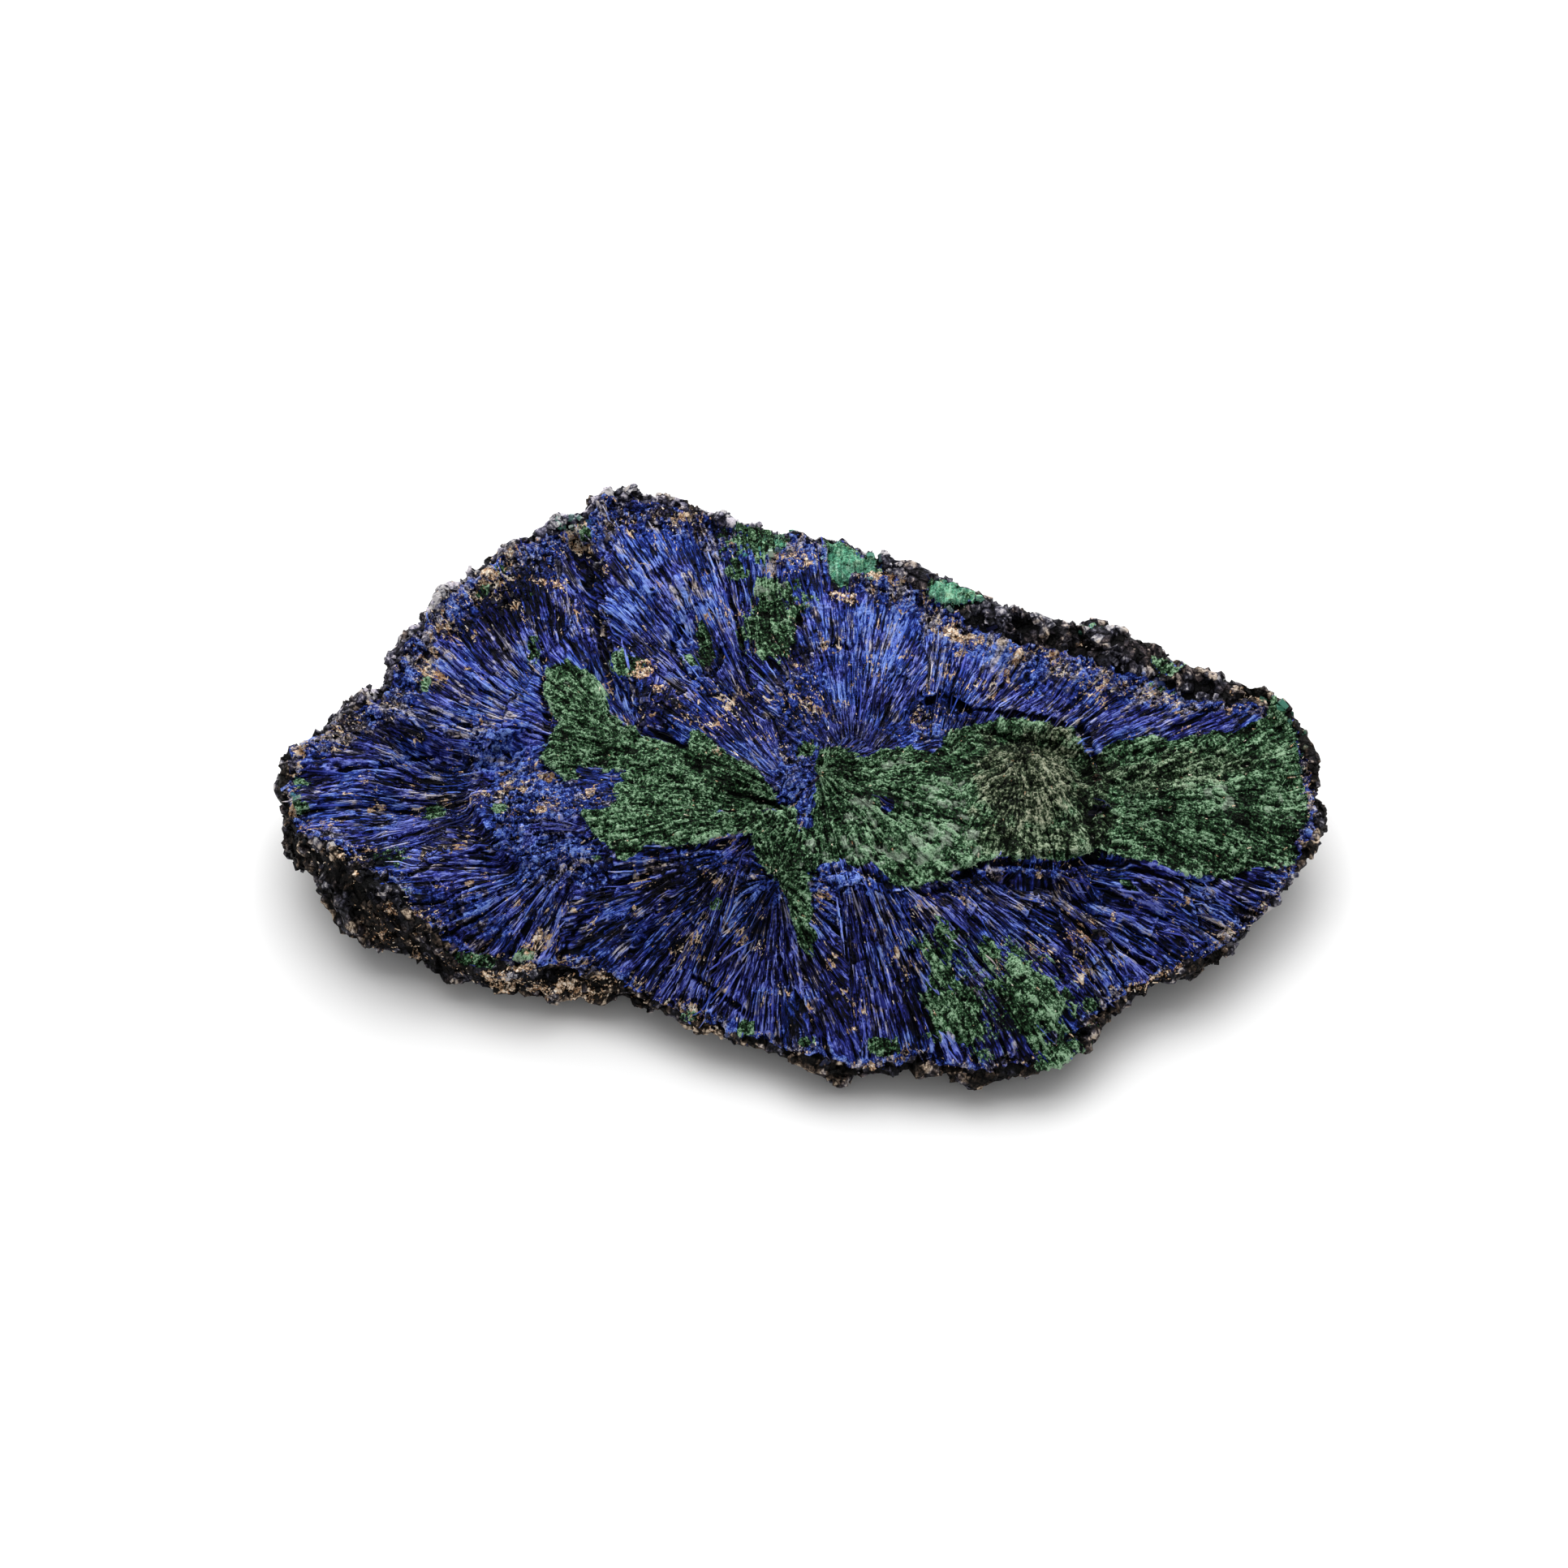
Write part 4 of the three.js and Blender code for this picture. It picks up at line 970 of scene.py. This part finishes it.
class Finish(Nodes):
    """A material that is being built. Sizes of its patterns are in millimetres."""

    def __init__(self, name):
        self.material = bpy.data.materials.new(name)
        self.material.use_nodes = True
        super().__init__(self.material.node_tree)
        self.shader = self.tree.nodes["Principled BSDF"]

    def share(self, name):
        """A number that is stored in the mesh."""
        return self.output("Fac", "ShaderNodeAttribute", attribute_name=name)

    def place(self):
        """The object's own coordinates."""
        return self.output("Object", "ShaderNodeTexCoord")

    def noise(self, place, detail, rough=0.5, scale=1.0):
        """Noise on any coordinates."""
        inputs = {"Vector": place, "Scale": scale, "Detail": detail, "Roughness": rough}
        return self.output("Fac", "ShaderNodeTexNoise", inputs)

    def cloud(self, size, detail=3.0, rough=0.6):
        """Noise on the object's own coordinates."""
        return self.noise(self.place(), detail, rough, 1 / MM / size)

    def drawn_out(self, place, across, along, third):
        """Coordinates divided by a size in each direction."""
        return self.vectors("MULTIPLY", place, (1 / across, 1 / along, 1 / third))

    def along_grain(self, width, length):
        """Coordinates across and along the fibres, in cells of the given size."""
        place = self.output("Vector", "ShaderNodeAttribute", attribute_name="grain")
        return self.drawn_out(place, width, length, 1)

    def streaks(self, width, length, detail=2.0):
        """Noise drawn out along the fibres, spread to run from 0 to 1."""
        return self.sharpened(self.noise(self.along_grain(width, length), detail, 0.6), 0.32, 0.68)

    def hairs(self, apart, length):
        """Thin lines along the fibres, a given distance apart, that run from 0 to 1."""
        off = self.maths("ABSOLUTE", self.noise(self.along_grain(apart, length), 1.0) - 0.5)
        return self.sharpened(off, 0.05, 0.01)

    def filaments(self, size):
        """Bright crooked threads, a given distance apart, that run from 0 to 1."""
        off = self.maths("ABSOLUTE", self.cloud(size, 3.0, 0.65) - 0.5)
        return self.sharpened(off, 0.14, 0.0)

    def cells(self, place):
        """Cells one unit wide: two random numbers from 0 to 1 for each, and 1 along the grooves between them."""
        inputs = {"Vector": place, "Scale": 1.0}
        colour = self.output("Color", "ShaderNodeTexVoronoi", inputs)
        numbers = self.node("ShaderNodeSeparateColor", {"Color": colour}).outputs
        edge = self.output("Distance", "ShaderNodeTexVoronoi", inputs, feature="DISTANCE_TO_EDGE")
        return Value(self, numbers[0]), Value(self, numbers[1]), self.sharpened(edge, 0.12, 0.02)

    def lumps(self, size):
        """Round cells of the given size."""
        return self.cells(self.drawn_out(self.place(), size * MM, size * MM, size * MM))

    def sharpened(self, value, low, high):
        """A value stretched to be 0 at low and 1 at high, and no further."""
        inputs = {"Value": value, "From Min": low, "From Max": high}
        return self.output(0, "ShaderNodeMapRange", inputs, clamp=True)

    def ragged(self, name):
        """How much of something shows, with a crisp, ragged edge."""
        return self.sharpened(self.share(name) + self.cloud(0.9), 0.95, 1.05)

    def ramp(self, value, stops):
        """The colour at a value on a ramp."""
        node = self.node("ShaderNodeValToRGB", {"Fac": value})
        elements = node.color_ramp.elements
        while len(elements) < len(stops[0]):
            elements.new(0.5)
        for element, place, colour in zip(elements, *stops):
            element.position = place
            element.color = rgba(colour)
        return Value(self, node.outputs["Color"])

    def mixed(self, share, first, second):
        """One colour over another. share is how much of the second shows."""
        inputs = {"Factor": share, 6: rgba(first), 7: rgba(second)}
        return self.output(2, "ShaderNodeMix", inputs, data_type="RGBA")


# Looks. Each gives the colour and the height of a kind of stone. tone is a number from 0 to 1 that makes one grain
# paler than the next.


def clay_colour(it, tone):
    """Cream to tan clay with rusty patches."""
    value = 0.5 * tone + 2.2 * it.cloud(0.9, 5.0, 0.8) - 0.72
    rusty = it.sharpened(0.3 * it.share("rusty") + it.cloud(1.6, 5.0), 0.65, 0.85)
    return it.mixed(rusty * it.between(tone, 0.8, 0.2), it.ramp(value, CLAY), RUST)


def clay_look(it, tone):
    """Clay flecks."""
    return clay_colour(it, tone), it.cloud(0.4)


def azurite_look(it, tone):
    """Azurite: streaks of blue and dusty lilac with dark gaps, brown blades and cream specks, with painted sheen,
    painted highlights and painted shade in its colour.
    """
    granular, crumbly, ropy = it.share("granular"), it.share("crumbly"), it.share("ropy")
    # light is the painted sheen: it makes the fibres paler and shifts their hue where the face catches the light.
    light = it.share("sheen")
    fibrous = 1.0 - granular
    specks = it.sharpened(it.cloud(0.6, 3.0, 0.8), 0.42, 0.6)
    knots = it.sharpened(it.cloud(1.8), 0.36, 0.64)
    hair = it.between(granular, it.sharpened(it.streaks(0.28, 2.4, 3.0), 0.2, 0.8), specks)
    strand = it.between(granular, it.streaks(1.1, 9), knots)
    pale = it.hairs(0.8, 5) * fibrous * it.sharpened(it.cloud(2.2), 0.45, 0.6)
    lines = 0.22 * pale - 0.35 * (it.hairs(1.0, 6) * fibrous)
    blade, kind, seam = it.cells(it.along_grain(1.4, 8))
    blades = (0.32 * blade - 0.14 * seam - 0.12) * fibrous
    parted = (0.05 * ropy + 0.15) * (it.hairs(3.0, 15) * fibrous)
    pattern = 0.66 * hair + 0.14 * strand + 0.22 * it.streaks(3, 15) + 1.05 * it.cloud(9, 4.0)
    # Painted shade in hollows and in the painted shade spots; granular parts are a little darker too.
    painted_gap_shade = 0.5 * it.share("hollow") + 0.4 * it.share("dark") + 0.07 * granular
    # Painted sheen and painted highlight on ridges, with paler crumbly parts, a darker ropy front and each grain's
    # own tone.
    tint_and_highlight = 0.2 * light + 0.28 * it.share("ridge") + 0.1 * crumbly - 0.06 * ropy + 0.2 * tone
    value = pattern + lines - painted_gap_shade + tint_and_highlight + blades - parted - 0.52
    value = (value - 0.45) * (0.1 * ropy + 1.15) + 0.46
    azure = it.sharpened(it.cloud(7) + 0.06 * light + 0.15 * granular, 0.47, 0.59)
    blue = it.mixed(azure, it.ramp(value, BLUE), it.ramp(value, COBALT))
    dull = 0.35 * it.streaks(0.8, 7) + 0.9 * it.cloud(5, 4.0) + 0.12 * crumbly + 0.1 * pale
    dull = it.sharpened(dull + 0.03 * light + 0.16 * kind, 0.79, 0.94)
    colour = it.mixed(dull, blue, it.ramp(value, DUSTY))
    brown = 0.9 * it.cloud(3.5, 5.0) + 0.1 * it.streaks(0.6, 7) + 0.04 * crumbly + 0.02 * ropy + 0.12 * kind
    colour = it.mixed(0.8 * it.sharpened(brown, 0.66, 0.73), colour, it.ramp(value, BROWN))
    patches = 1.6 * it.cloud(6, 6.0, 0.7) + 0.2 * it.share("clay") + 0.08 * crumbly - 0.46
    fine = it.between(it.between(granular, 0.5, 1.0), it.streaks(0.35, 1.2, 3.0), specks)
    cream = it.sharpened(0.22 * fine + 0.16 * it.hairs(1.3, 4) + patches, 0.73, 0.76)
    colour = it.mixed(cream, colour, clay_colour(it, strand))
    return colour, 0.7 * hair + 0.8 * strand + lines + 2.0 * blades + 0.2 * cream - 1.5 * parted


def malachite_look(it, tone):
    """Malachite: crooked bright threads over dark pits, in green, olive and turquoise."""
    ridge, pale, olive = it.share("ridge"), it.share("pale"), it.share("olive")
    threads = it.filaments(1.2)
    runs = it.streaks(0.3, 2.8, 3.0)
    fine = it.sharpened(it.cloud(0.45, 3.0, 0.8), 0.4, 0.6)
    pits = it.sharpened(it.cloud(2.6, 5.0, 0.65), 0.42, 0.58)
    pattern = 0.2 * threads + 0.42 * runs + 0.26 * it.streaks(0.9, 7, 3.0) + 0.56 * fine + 0.26 * pits
    # Painted shade in the painted shade spots and in hollows, and painted highlight on ridges.
    broad = 0.8 * it.cloud(6) - 0.3 * it.share("dark") + 0.12 * pale + 0.03 * olive
    value = pattern + broad + 0.3 * ridge - 0.5 * it.share("hollow") + 0.32 * tone - 0.92
    value = 1.4 * (value - 0.45) + 0.45
    green = it.mixed(olive, it.ramp(value, GREEN), it.ramp(value, OLIVE))
    faded = it.sharpened(it.cloud(2.5, 5.0) + 0.3 * pale, 0.7, 0.76)
    green = it.mixed(faded * it.between(runs, 0.15, 0.9), green, PALE_GREEN)
    glint = it.sharpened(it.cloud(0.9, 4.0, 0.8) + 0.04 * ridge, 0.65, 0.68)
    green = it.mixed(0.75 * glint, green, PALE_GREEN)
    bright = 0.5 * it.share("turquoise") + it.cloud(1.6, 4.0, 0.7) + 0.1 * runs
    bright = it.sharpened(bright, 0.9, 1.05) * it.between(fine, 0.2, 0.9)
    green = it.mixed(bright, green, it.mixed(it.sharpened(runs, 0.4, 0.9), TURQUOISE, PALE_MINT))
    return green, 0.4 * threads + 0.6 * runs + 0.4 * fine + 0.8 * pits


def crust_look(it, tone):
    """The crust: near black crystal faces, grey glints and brown streaks down the wall."""
    rim = it.share("rim")
    family, kind, groove = it.lumps(1.9)
    runs = it.sharpened(it.noise(it.drawn_out(it.place(), 0.6 * MM, 0.6 * MM, 3 * MM), 4.0), 0.3, 0.7)
    fine = it.sharpened(it.cloud(0.8, 3.0, 0.7), 0.36, 0.64)
    pattern = 0.4 * fine + 0.6 * family + 0.35 * runs + it.cloud(7, 4.0) + 0.15 * tone
    # Painted shade in hollows and in the grooves between crystals.
    painted_gap_shade = 0.3 * groove + 0.4 * it.share("hollow")
    # Painted highlight on ridges, and painted light on the top rim where the crust faces up at the back.
    value = pattern - painted_gap_shade + 0.3 * it.share("ridge") + 0.4 * rim - 0.89
    brown = it.sharpened(it.cloud(8, 4.0) + 0.15 * kind - 0.06 * rim, 0.5, 0.62)
    colour = it.mixed(brown, it.ramp(value, DARK), it.ramp(value, BROWN))
    colour = it.mixed(rim * it.sharpened(kind, 0.5, 0.6), colour, it.ramp(value, DUSTY))
    return colour, 0.5 * fine + 0.6 * family + 0.4 * runs - 0.5 * groove


def crystal_look(it, tone):
    """The rim's crystals, bluer where they grow among the fibres."""
    colour, height = crust_look(it, tone)
    blue, _ = azurite_look(it, tone)
    colour = it.mixed(it.share("azurite") * it.between(it.share("stain"), 0.2, 1.0), colour, blue)
    return it.mixed(0.6 * it.share("turquoise"), colour, TURQUOISE), height


def stone_look(it, tone):
    """The skin: azurite, malachite, crust and clay, each where the mesh says."""
    colour, height = azurite_look(it, tone)
    for name, look in (("crust", crust_look), ("malachite", malachite_look)):
        over, raised = look(it, tone)
        share = it.ragged(name)
        colour = it.mixed(share, colour, over)
        height = it.between(share, height, raised)
    number, _, gap = it.lumps(0.8)
    place = 0.39 * it.share("clay") + 0.03 * it.share("rim") + 0.05 * it.share("crumbly")
    covered = 0.95 * it.cloud(1.3, 6.0, 0.8) + 0.5 * it.cloud(4, 4.0) - 0.22 + 0.08 * number - 0.1 * gap + place
    depth = it.sharpened(covered, 0.84, 1.0)
    covered = it.sharpened(covered, 0.84, 0.87)
    colour = it.mixed(covered, colour, clay_colour(it, depth))
    return colour, it.between(covered, height, 0.8 * number - 0.5 * gap)


def finished(name, look, roughness, bump, patch=1.5, skin=False):
    """A material from one of the looks. roughness is the two numbers that it runs between, in patches."""
    it = Finish(name)
    # The scattered pieces each have a tone stored. The skin is toned by noise.
    tone = it.sharpened(it.cloud(0.5, 4.0, 0.8), 0.38, 0.62) if skin else it.share("tone")
    colour, height = look(it, tone)
    inputs = {"Height": height, "Distance": bump * MM, "Strength": 1.0}
    for socket, value in (
        ("Base Color", colour),
        ("Roughness", it.between(it.cloud(patch), *roughness)),
        ("Specular IOR Level", STONE_SPECULAR),
        ("Normal", it.output(0, "ShaderNodeBump", inputs)),
    ):
        it.feed(it.shader.inputs[socket], value)
    return it.material


# The stage, in metres. A light is given by its place and its width.

FLOOR_WIDTH = 6.0
FLOOR_ROUGHNESS = 0.8
FLOOR_SPECULAR = 0.1
OVERHEAD = ((0.0, 0.65, 1.0), 2.2)
KEY = ((-0.1, 0.85, 0.95), 1.1)
WORLD_STRENGTH = 0.5
CLIP = (0.1, 20)


# Settings.


class SPECIMEN_PG_stone(bpy.types.PropertyGroup):
    """The stone's skin."""

    cuts: IntProperty(
        name="Cuts", description="Cuts in each edge of the solid's broken face", default=9, min=1, max=10
    )
    parting: FloatProperty(
        name="Parting", description="Where the azurite is parted into a left and a right piece", default=-0.01,
        subtype="DISTANCE", unit="LENGTH"
    )
    relief: FloatProperty(
        name="Relief", description="Depth of the fibres, lumps and crystals in the skin", default=1.0, min=0, max=2
    )


class SPECIMEN_PG_grains(bpy.types.PropertyGroup):
    """The grains on the skin."""

    fibre_length: FloatProperty(
        name="Fibre Length", description="Longest azurite fibre", default=0.013, subtype="DISTANCE", unit="LENGTH"
    )
    fibre_width: FloatProperty(
        name="Fibre Width", description="Widest azurite fibre", default=0.00026, subtype="DISTANCE", unit="LENGTH"
    )
    tuft_length: FloatProperty(
        name="Tuft Length", description="Longest malachite needle", default=0.0015,
        subtype="DISTANCE", unit="LENGTH"
    )
    crystal_size: FloatProperty(
        name="Crystal Size", description="Largest rim crystal", default=0.0019, subtype="DISTANCE", unit="LENGTH"
    )
    seed: IntProperty(name="Seed", description="Where the grains fall", default=5)


class SPECIMEN_PG_stage(bpy.types.PropertyGroup):
    """The floor and the lights."""

    floor_colour: FloatVectorProperty(
        name="Floor", description="Colour of the floor", default=(0.9, 0.9, 0.9), subtype="COLOR", min=0, max=1
    )
    overhead_power: FloatProperty(
        name="Overhead Light", description="Power of the soft light above", default=24.0,
        subtype="POWER", unit="POWER"
    )
    key_power: FloatProperty(
        name="Key Light", description="Power of the smaller light behind", default=7.0,
        subtype="POWER", unit="POWER"
    )


# Operators.


class SPECIMEN_OT_stone(bpy.types.Operator):
    """Build the stone's skin over the solid"""

    bl_idname = "specimen.stone"
    bl_label = "Stone"

    def execute(self, context):
        settings = context.scene.specimen_stone
        skin = fine_skin(NODE, settings.cuts)
        skin.verts.index_update()
        edges = np.array([[vertex.index for vertex in edge.verts] for edge in skin.edges])
        faces = np.array([[vertex.index for vertex in face.verts] for face in skin.faces])
        points, up, resting = stepped_ground(skin, edges, settings.relief)
        skin.free()
        sunk = np.einsum("ij,ij->i", smoothed(points, edges, GROUND_ROUNDS, 0.9) - points, up)
        holder = holding_spray(points, spray_shares(points))
        grain = grain_place(points, holder)
        masks = skin_masks(points, up, grain)
        relief = skin_relief(points, masks, grain, settings.relief) * ease(0, 2.5, points[:, 2])
        add_relief_masks(masks, relief, sunk, edges)
        add_scatter_masks(masks, points, up)
        vectors = {"fibre": fibre_way(points, up, holder), "up": up, "grain": grain}
        points = points + relief[:, None] * up
        points[:, 2] = np.where(resting, 0, np.maximum(points[:, 2], CLEAR))
        mesh_part("skin", points, faces, masks, vectors)
        shared = {name: values for name, values in masks.items() if name not in UNUSED_ON_PIECES}
        finish = finished("stone skin", stone_look, (0.35, 0.65), 0.34, patch=2.0, skin=True)
        crust = masks["crust"][faces].mean(axis=1) > 0.5
        green = masks["malachite"][faces].mean(axis=1) > 0.5
        left = points[faces][:, :, 0].mean(axis=1) < settings.parting / MM
        for name, slot, chosen in (
            ("stone_malachite", "malachite", green),
            ("stone_crust", "dark_crust", crust & ~green),
            ("stone_azurite_left", "azurite", ~crust & ~green & left),
            ("stone_azurite_right", "azurite", ~crust & ~green & ~left),
        ):
            mesh = mesh_part(name, points, faces[chosen], shared, {"grain": grain})
            mesh.materials.append(finish)
            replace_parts(add_piece(name, mesh), NODE)
        return {"FINISHED"}


class SPECIMEN_OT_azurite(bpy.types.Operator):
    """Scatter the azurite fibres, long and short"""

    bl_idname = "specimen.azurite"
    bl_label = "Azurite Fibres"

    def execute(self, context):
        settings = context.scene.specimen_grains
        long = settings.fibre_length / MM
        wide = settings.fibre_width / MM
        tree = fibre_tree()
        common = {
            "Where": "fibres", "Sides": 3, "Wave": 0.15, "Room": 1.8,
            "Material": finished("azurite fibres", azurite_look, (0.3, 0.6), 0.06),
        }
        scatter_pieces("azurite_long_fibres", tree, {
            **common, "Number per square millimetre": 0.1, "Seed": settings.seed, "Points": 5,
            "Shortest": 3.0, "Longest": long, "Thinnest": 0.3 * wide, "Thickest": wide,
            "Stray": 2.0, "Lift": 0.3, "Sink": 0.2,
        })
        scatter_pieces("azurite_short_fibres", tree, {
            **common, "Number per square millimetre": 0.15, "Seed": settings.seed + 20, "Points": 4,
            "Shortest": 1.0, "Longest": 0.4 * long, "Thinnest": 0.3 * wide, "Thickest": 0.8 * wide,
            "Stray": 5.0, "Lift": 0.35, "Sink": 0.15,
        })
        return {"FINISHED"}


class SPECIMEN_OT_grains(bpy.types.Operator):
    """Scatter the malachite tufts, the rim crystals and the clay flecks"""

    bl_idname = "specimen.grains"
    bl_label = "Tufts, Crystals and Flecks"

    def execute(self, context):
        settings = context.scene.specimen_grains
        tuft = settings.tuft_length / MM
        large = settings.crystal_size / MM
        tree = grain_tree()
        scatter_pieces("malachite_tufts", tree, {
            "Where": "malachite", "Number per square millimetre": 2.7, "Seed": settings.seed + 40, "Sides": 3,
            "Tip": 0.35, "Shortest": 0.5, "Longest": tuft, "Thinnest": 0.1, "Thickest": 0.25, "Flatness": 0.7,
            "Stray": 50.0, "Lowest Rise": -5.0, "Highest Rise": 35.0, "Roll": 90.0, "Sink": 0.25,
            "Material": finished("malachite tufts", malachite_look, (0.35, 0.65), 0.06),
        })
        scatter_pieces("rim_crystals", tree, {
            "Where": "crystals", "Number per square millimetre": 0.3, "Seed": settings.seed + 60, "Sides": 4,
            "Tip": 0.75, "Shortest": 0.4 * large, "Longest": large, "Thinnest": 0.3 * large,
            "Thickest": 0.8 * large, "Stray": 180.0, "Lowest Rise": -10.0, "Highest Rise": 60.0, "Roll": 180.0,
            "Sink": 0.7, "Material": finished("rim crystals", crystal_look, (0.25, 0.55), 0.1),
        })
        scatter_pieces("clay_flecks", tree, {
            "Where": "flecks", "Number per square millimetre": 1.5, "Seed": settings.seed + 80, "Sides": 4,
            "Tip": 0.6, "Shortest": 0.2, "Longest": 1.0, "Thinnest": 0.12, "Thickest": 0.38, "Flatness": 0.7,
            "Stray": 40.0, "Lowest Rise": -8.0, "Highest Rise": 15.0, "Roll": 90.0, "Sink": 0.1,
            "Material": finished("clay", clay_look, (0.75, 0.95), 0.1),
        })
        return {"FINISHED"}


class SPECIMEN_OT_stage(bpy.types.Operator):
    """Set the floor, the lights and the camera"""

    bl_idname = "specimen.stage"
    bl_label = "Stage"

    def execute(self, context):
        settings = context.scene.specimen_stage
        scene = context.scene
        floor_mesh = bpy.data.meshes.new("floor")
        half = FLOOR_WIDTH / 2
        corners = [(-half, -half, 0), (half, -half, 0), (half, half, 0), (-half, half, 0)]
        floor_mesh.from_pydata(corners, [], [(0, 1, 2, 3)])
        finish = Finish("floor")
        for socket, value in (
            ("Base Color", (*settings.floor_colour, 1)),
            ("Roughness", FLOOR_ROUGHNESS),
            ("Specular IOR Level", FLOOR_SPECULAR),
        ):
            finish.feed(finish.shader.inputs[socket], value)
        floor_mesh.materials.append(finish.material)
        floor = bpy.data.objects.new("floor", floor_mesh)
        scene.collection.objects.link(floor)
        scene.view_settings.view_transform = "Standard"
        self.add_light("overhead", *OVERHEAD, settings.overhead_power)
        self.add_light("key", *KEY, settings.key_power)
        world = bpy.data.worlds.new("studio")
        world.use_nodes = True
        background = world.node_tree.nodes["Background"]
        background.inputs["Color"].default_value = (1, 1, 1, 1)
        background.inputs["Strength"].default_value = WORLD_STRENGTH
        scene.world = world
        camera_data = bpy.data.cameras.new("camera")
        camera_data.lens = LENS
        camera_data.sensor_width = SENSOR
        camera_data.clip_start, camera_data.clip_end = CLIP
        camera = bpy.data.objects.new("camera", camera_data)
        scene.collection.objects.link(camera)
        camera.location = CAMERA * MM
        camera.rotation_euler = (math.pi / 2 - ELEVATION, 0, 0)
        scene.camera = camera
        return {"FINISHED"}

    @staticmethod
    def add_light(name, place, size, power):
        """A square area light that faces the stone."""
        data = bpy.data.lights.new(name, "AREA")
        data.shape = "SQUARE"
        data.size = size
        data.energy = power
        light = bpy.data.objects.new(name, data)
        light.location = place
        x, y, z = place
        light.rotation_euler = (math.atan2(math.hypot(x, y), z), 0, math.atan2(y, x) + math.pi / 2)
        bpy.context.scene.collection.objects.link(light)


class SPECIMEN_PT_panel(bpy.types.Panel):
    """The specimen's settings and steps"""

    bl_label = "Specimen"
    bl_idname = "SPECIMEN_PT_panel"
    bl_space_type = "VIEW_3D"
    bl_region_type = "UI"
    bl_category = "Specimen"

    def draw(self, context):
        for group in (context.scene.specimen_stone, context.scene.specimen_grains, context.scene.specimen_stage):
            for name in group.__annotations__:
                self.layout.prop(group, name)
        for operator in OPERATORS:
            self.layout.operator(operator.bl_idname)


OPERATORS = (
    SPECIMEN_OT_stone,
    SPECIMEN_OT_azurite,
    SPECIMEN_OT_grains,
    SPECIMEN_OT_stage,
)
CLASSES = (SPECIMEN_PG_stone, SPECIMEN_PG_grains, SPECIMEN_PG_stage, *OPERATORS, SPECIMEN_PT_panel)


def register():
    for item in CLASSES:
        bpy.utils.register_class(item)
    bpy.types.Scene.specimen_stone = PointerProperty(type=SPECIMEN_PG_stone)
    bpy.types.Scene.specimen_grains = PointerProperty(type=SPECIMEN_PG_grains)
    bpy.types.Scene.specimen_stage = PointerProperty(type=SPECIMEN_PG_stage)


def unregister():
    del bpy.types.Scene.specimen_stage
    del bpy.types.Scene.specimen_grains
    del bpy.types.Scene.specimen_stone
    for item in reversed(CLASSES):
        bpy.utils.unregister_class(item)


def main():
    register()
    bpy.ops.specimen.stone()
    bpy.ops.specimen.azurite()
    bpy.ops.specimen.grains()
    bpy.ops.specimen.stage()
    bpy.data.meshes.remove(bpy.data.meshes["skin"])


if __name__ == "__main__":
    main()
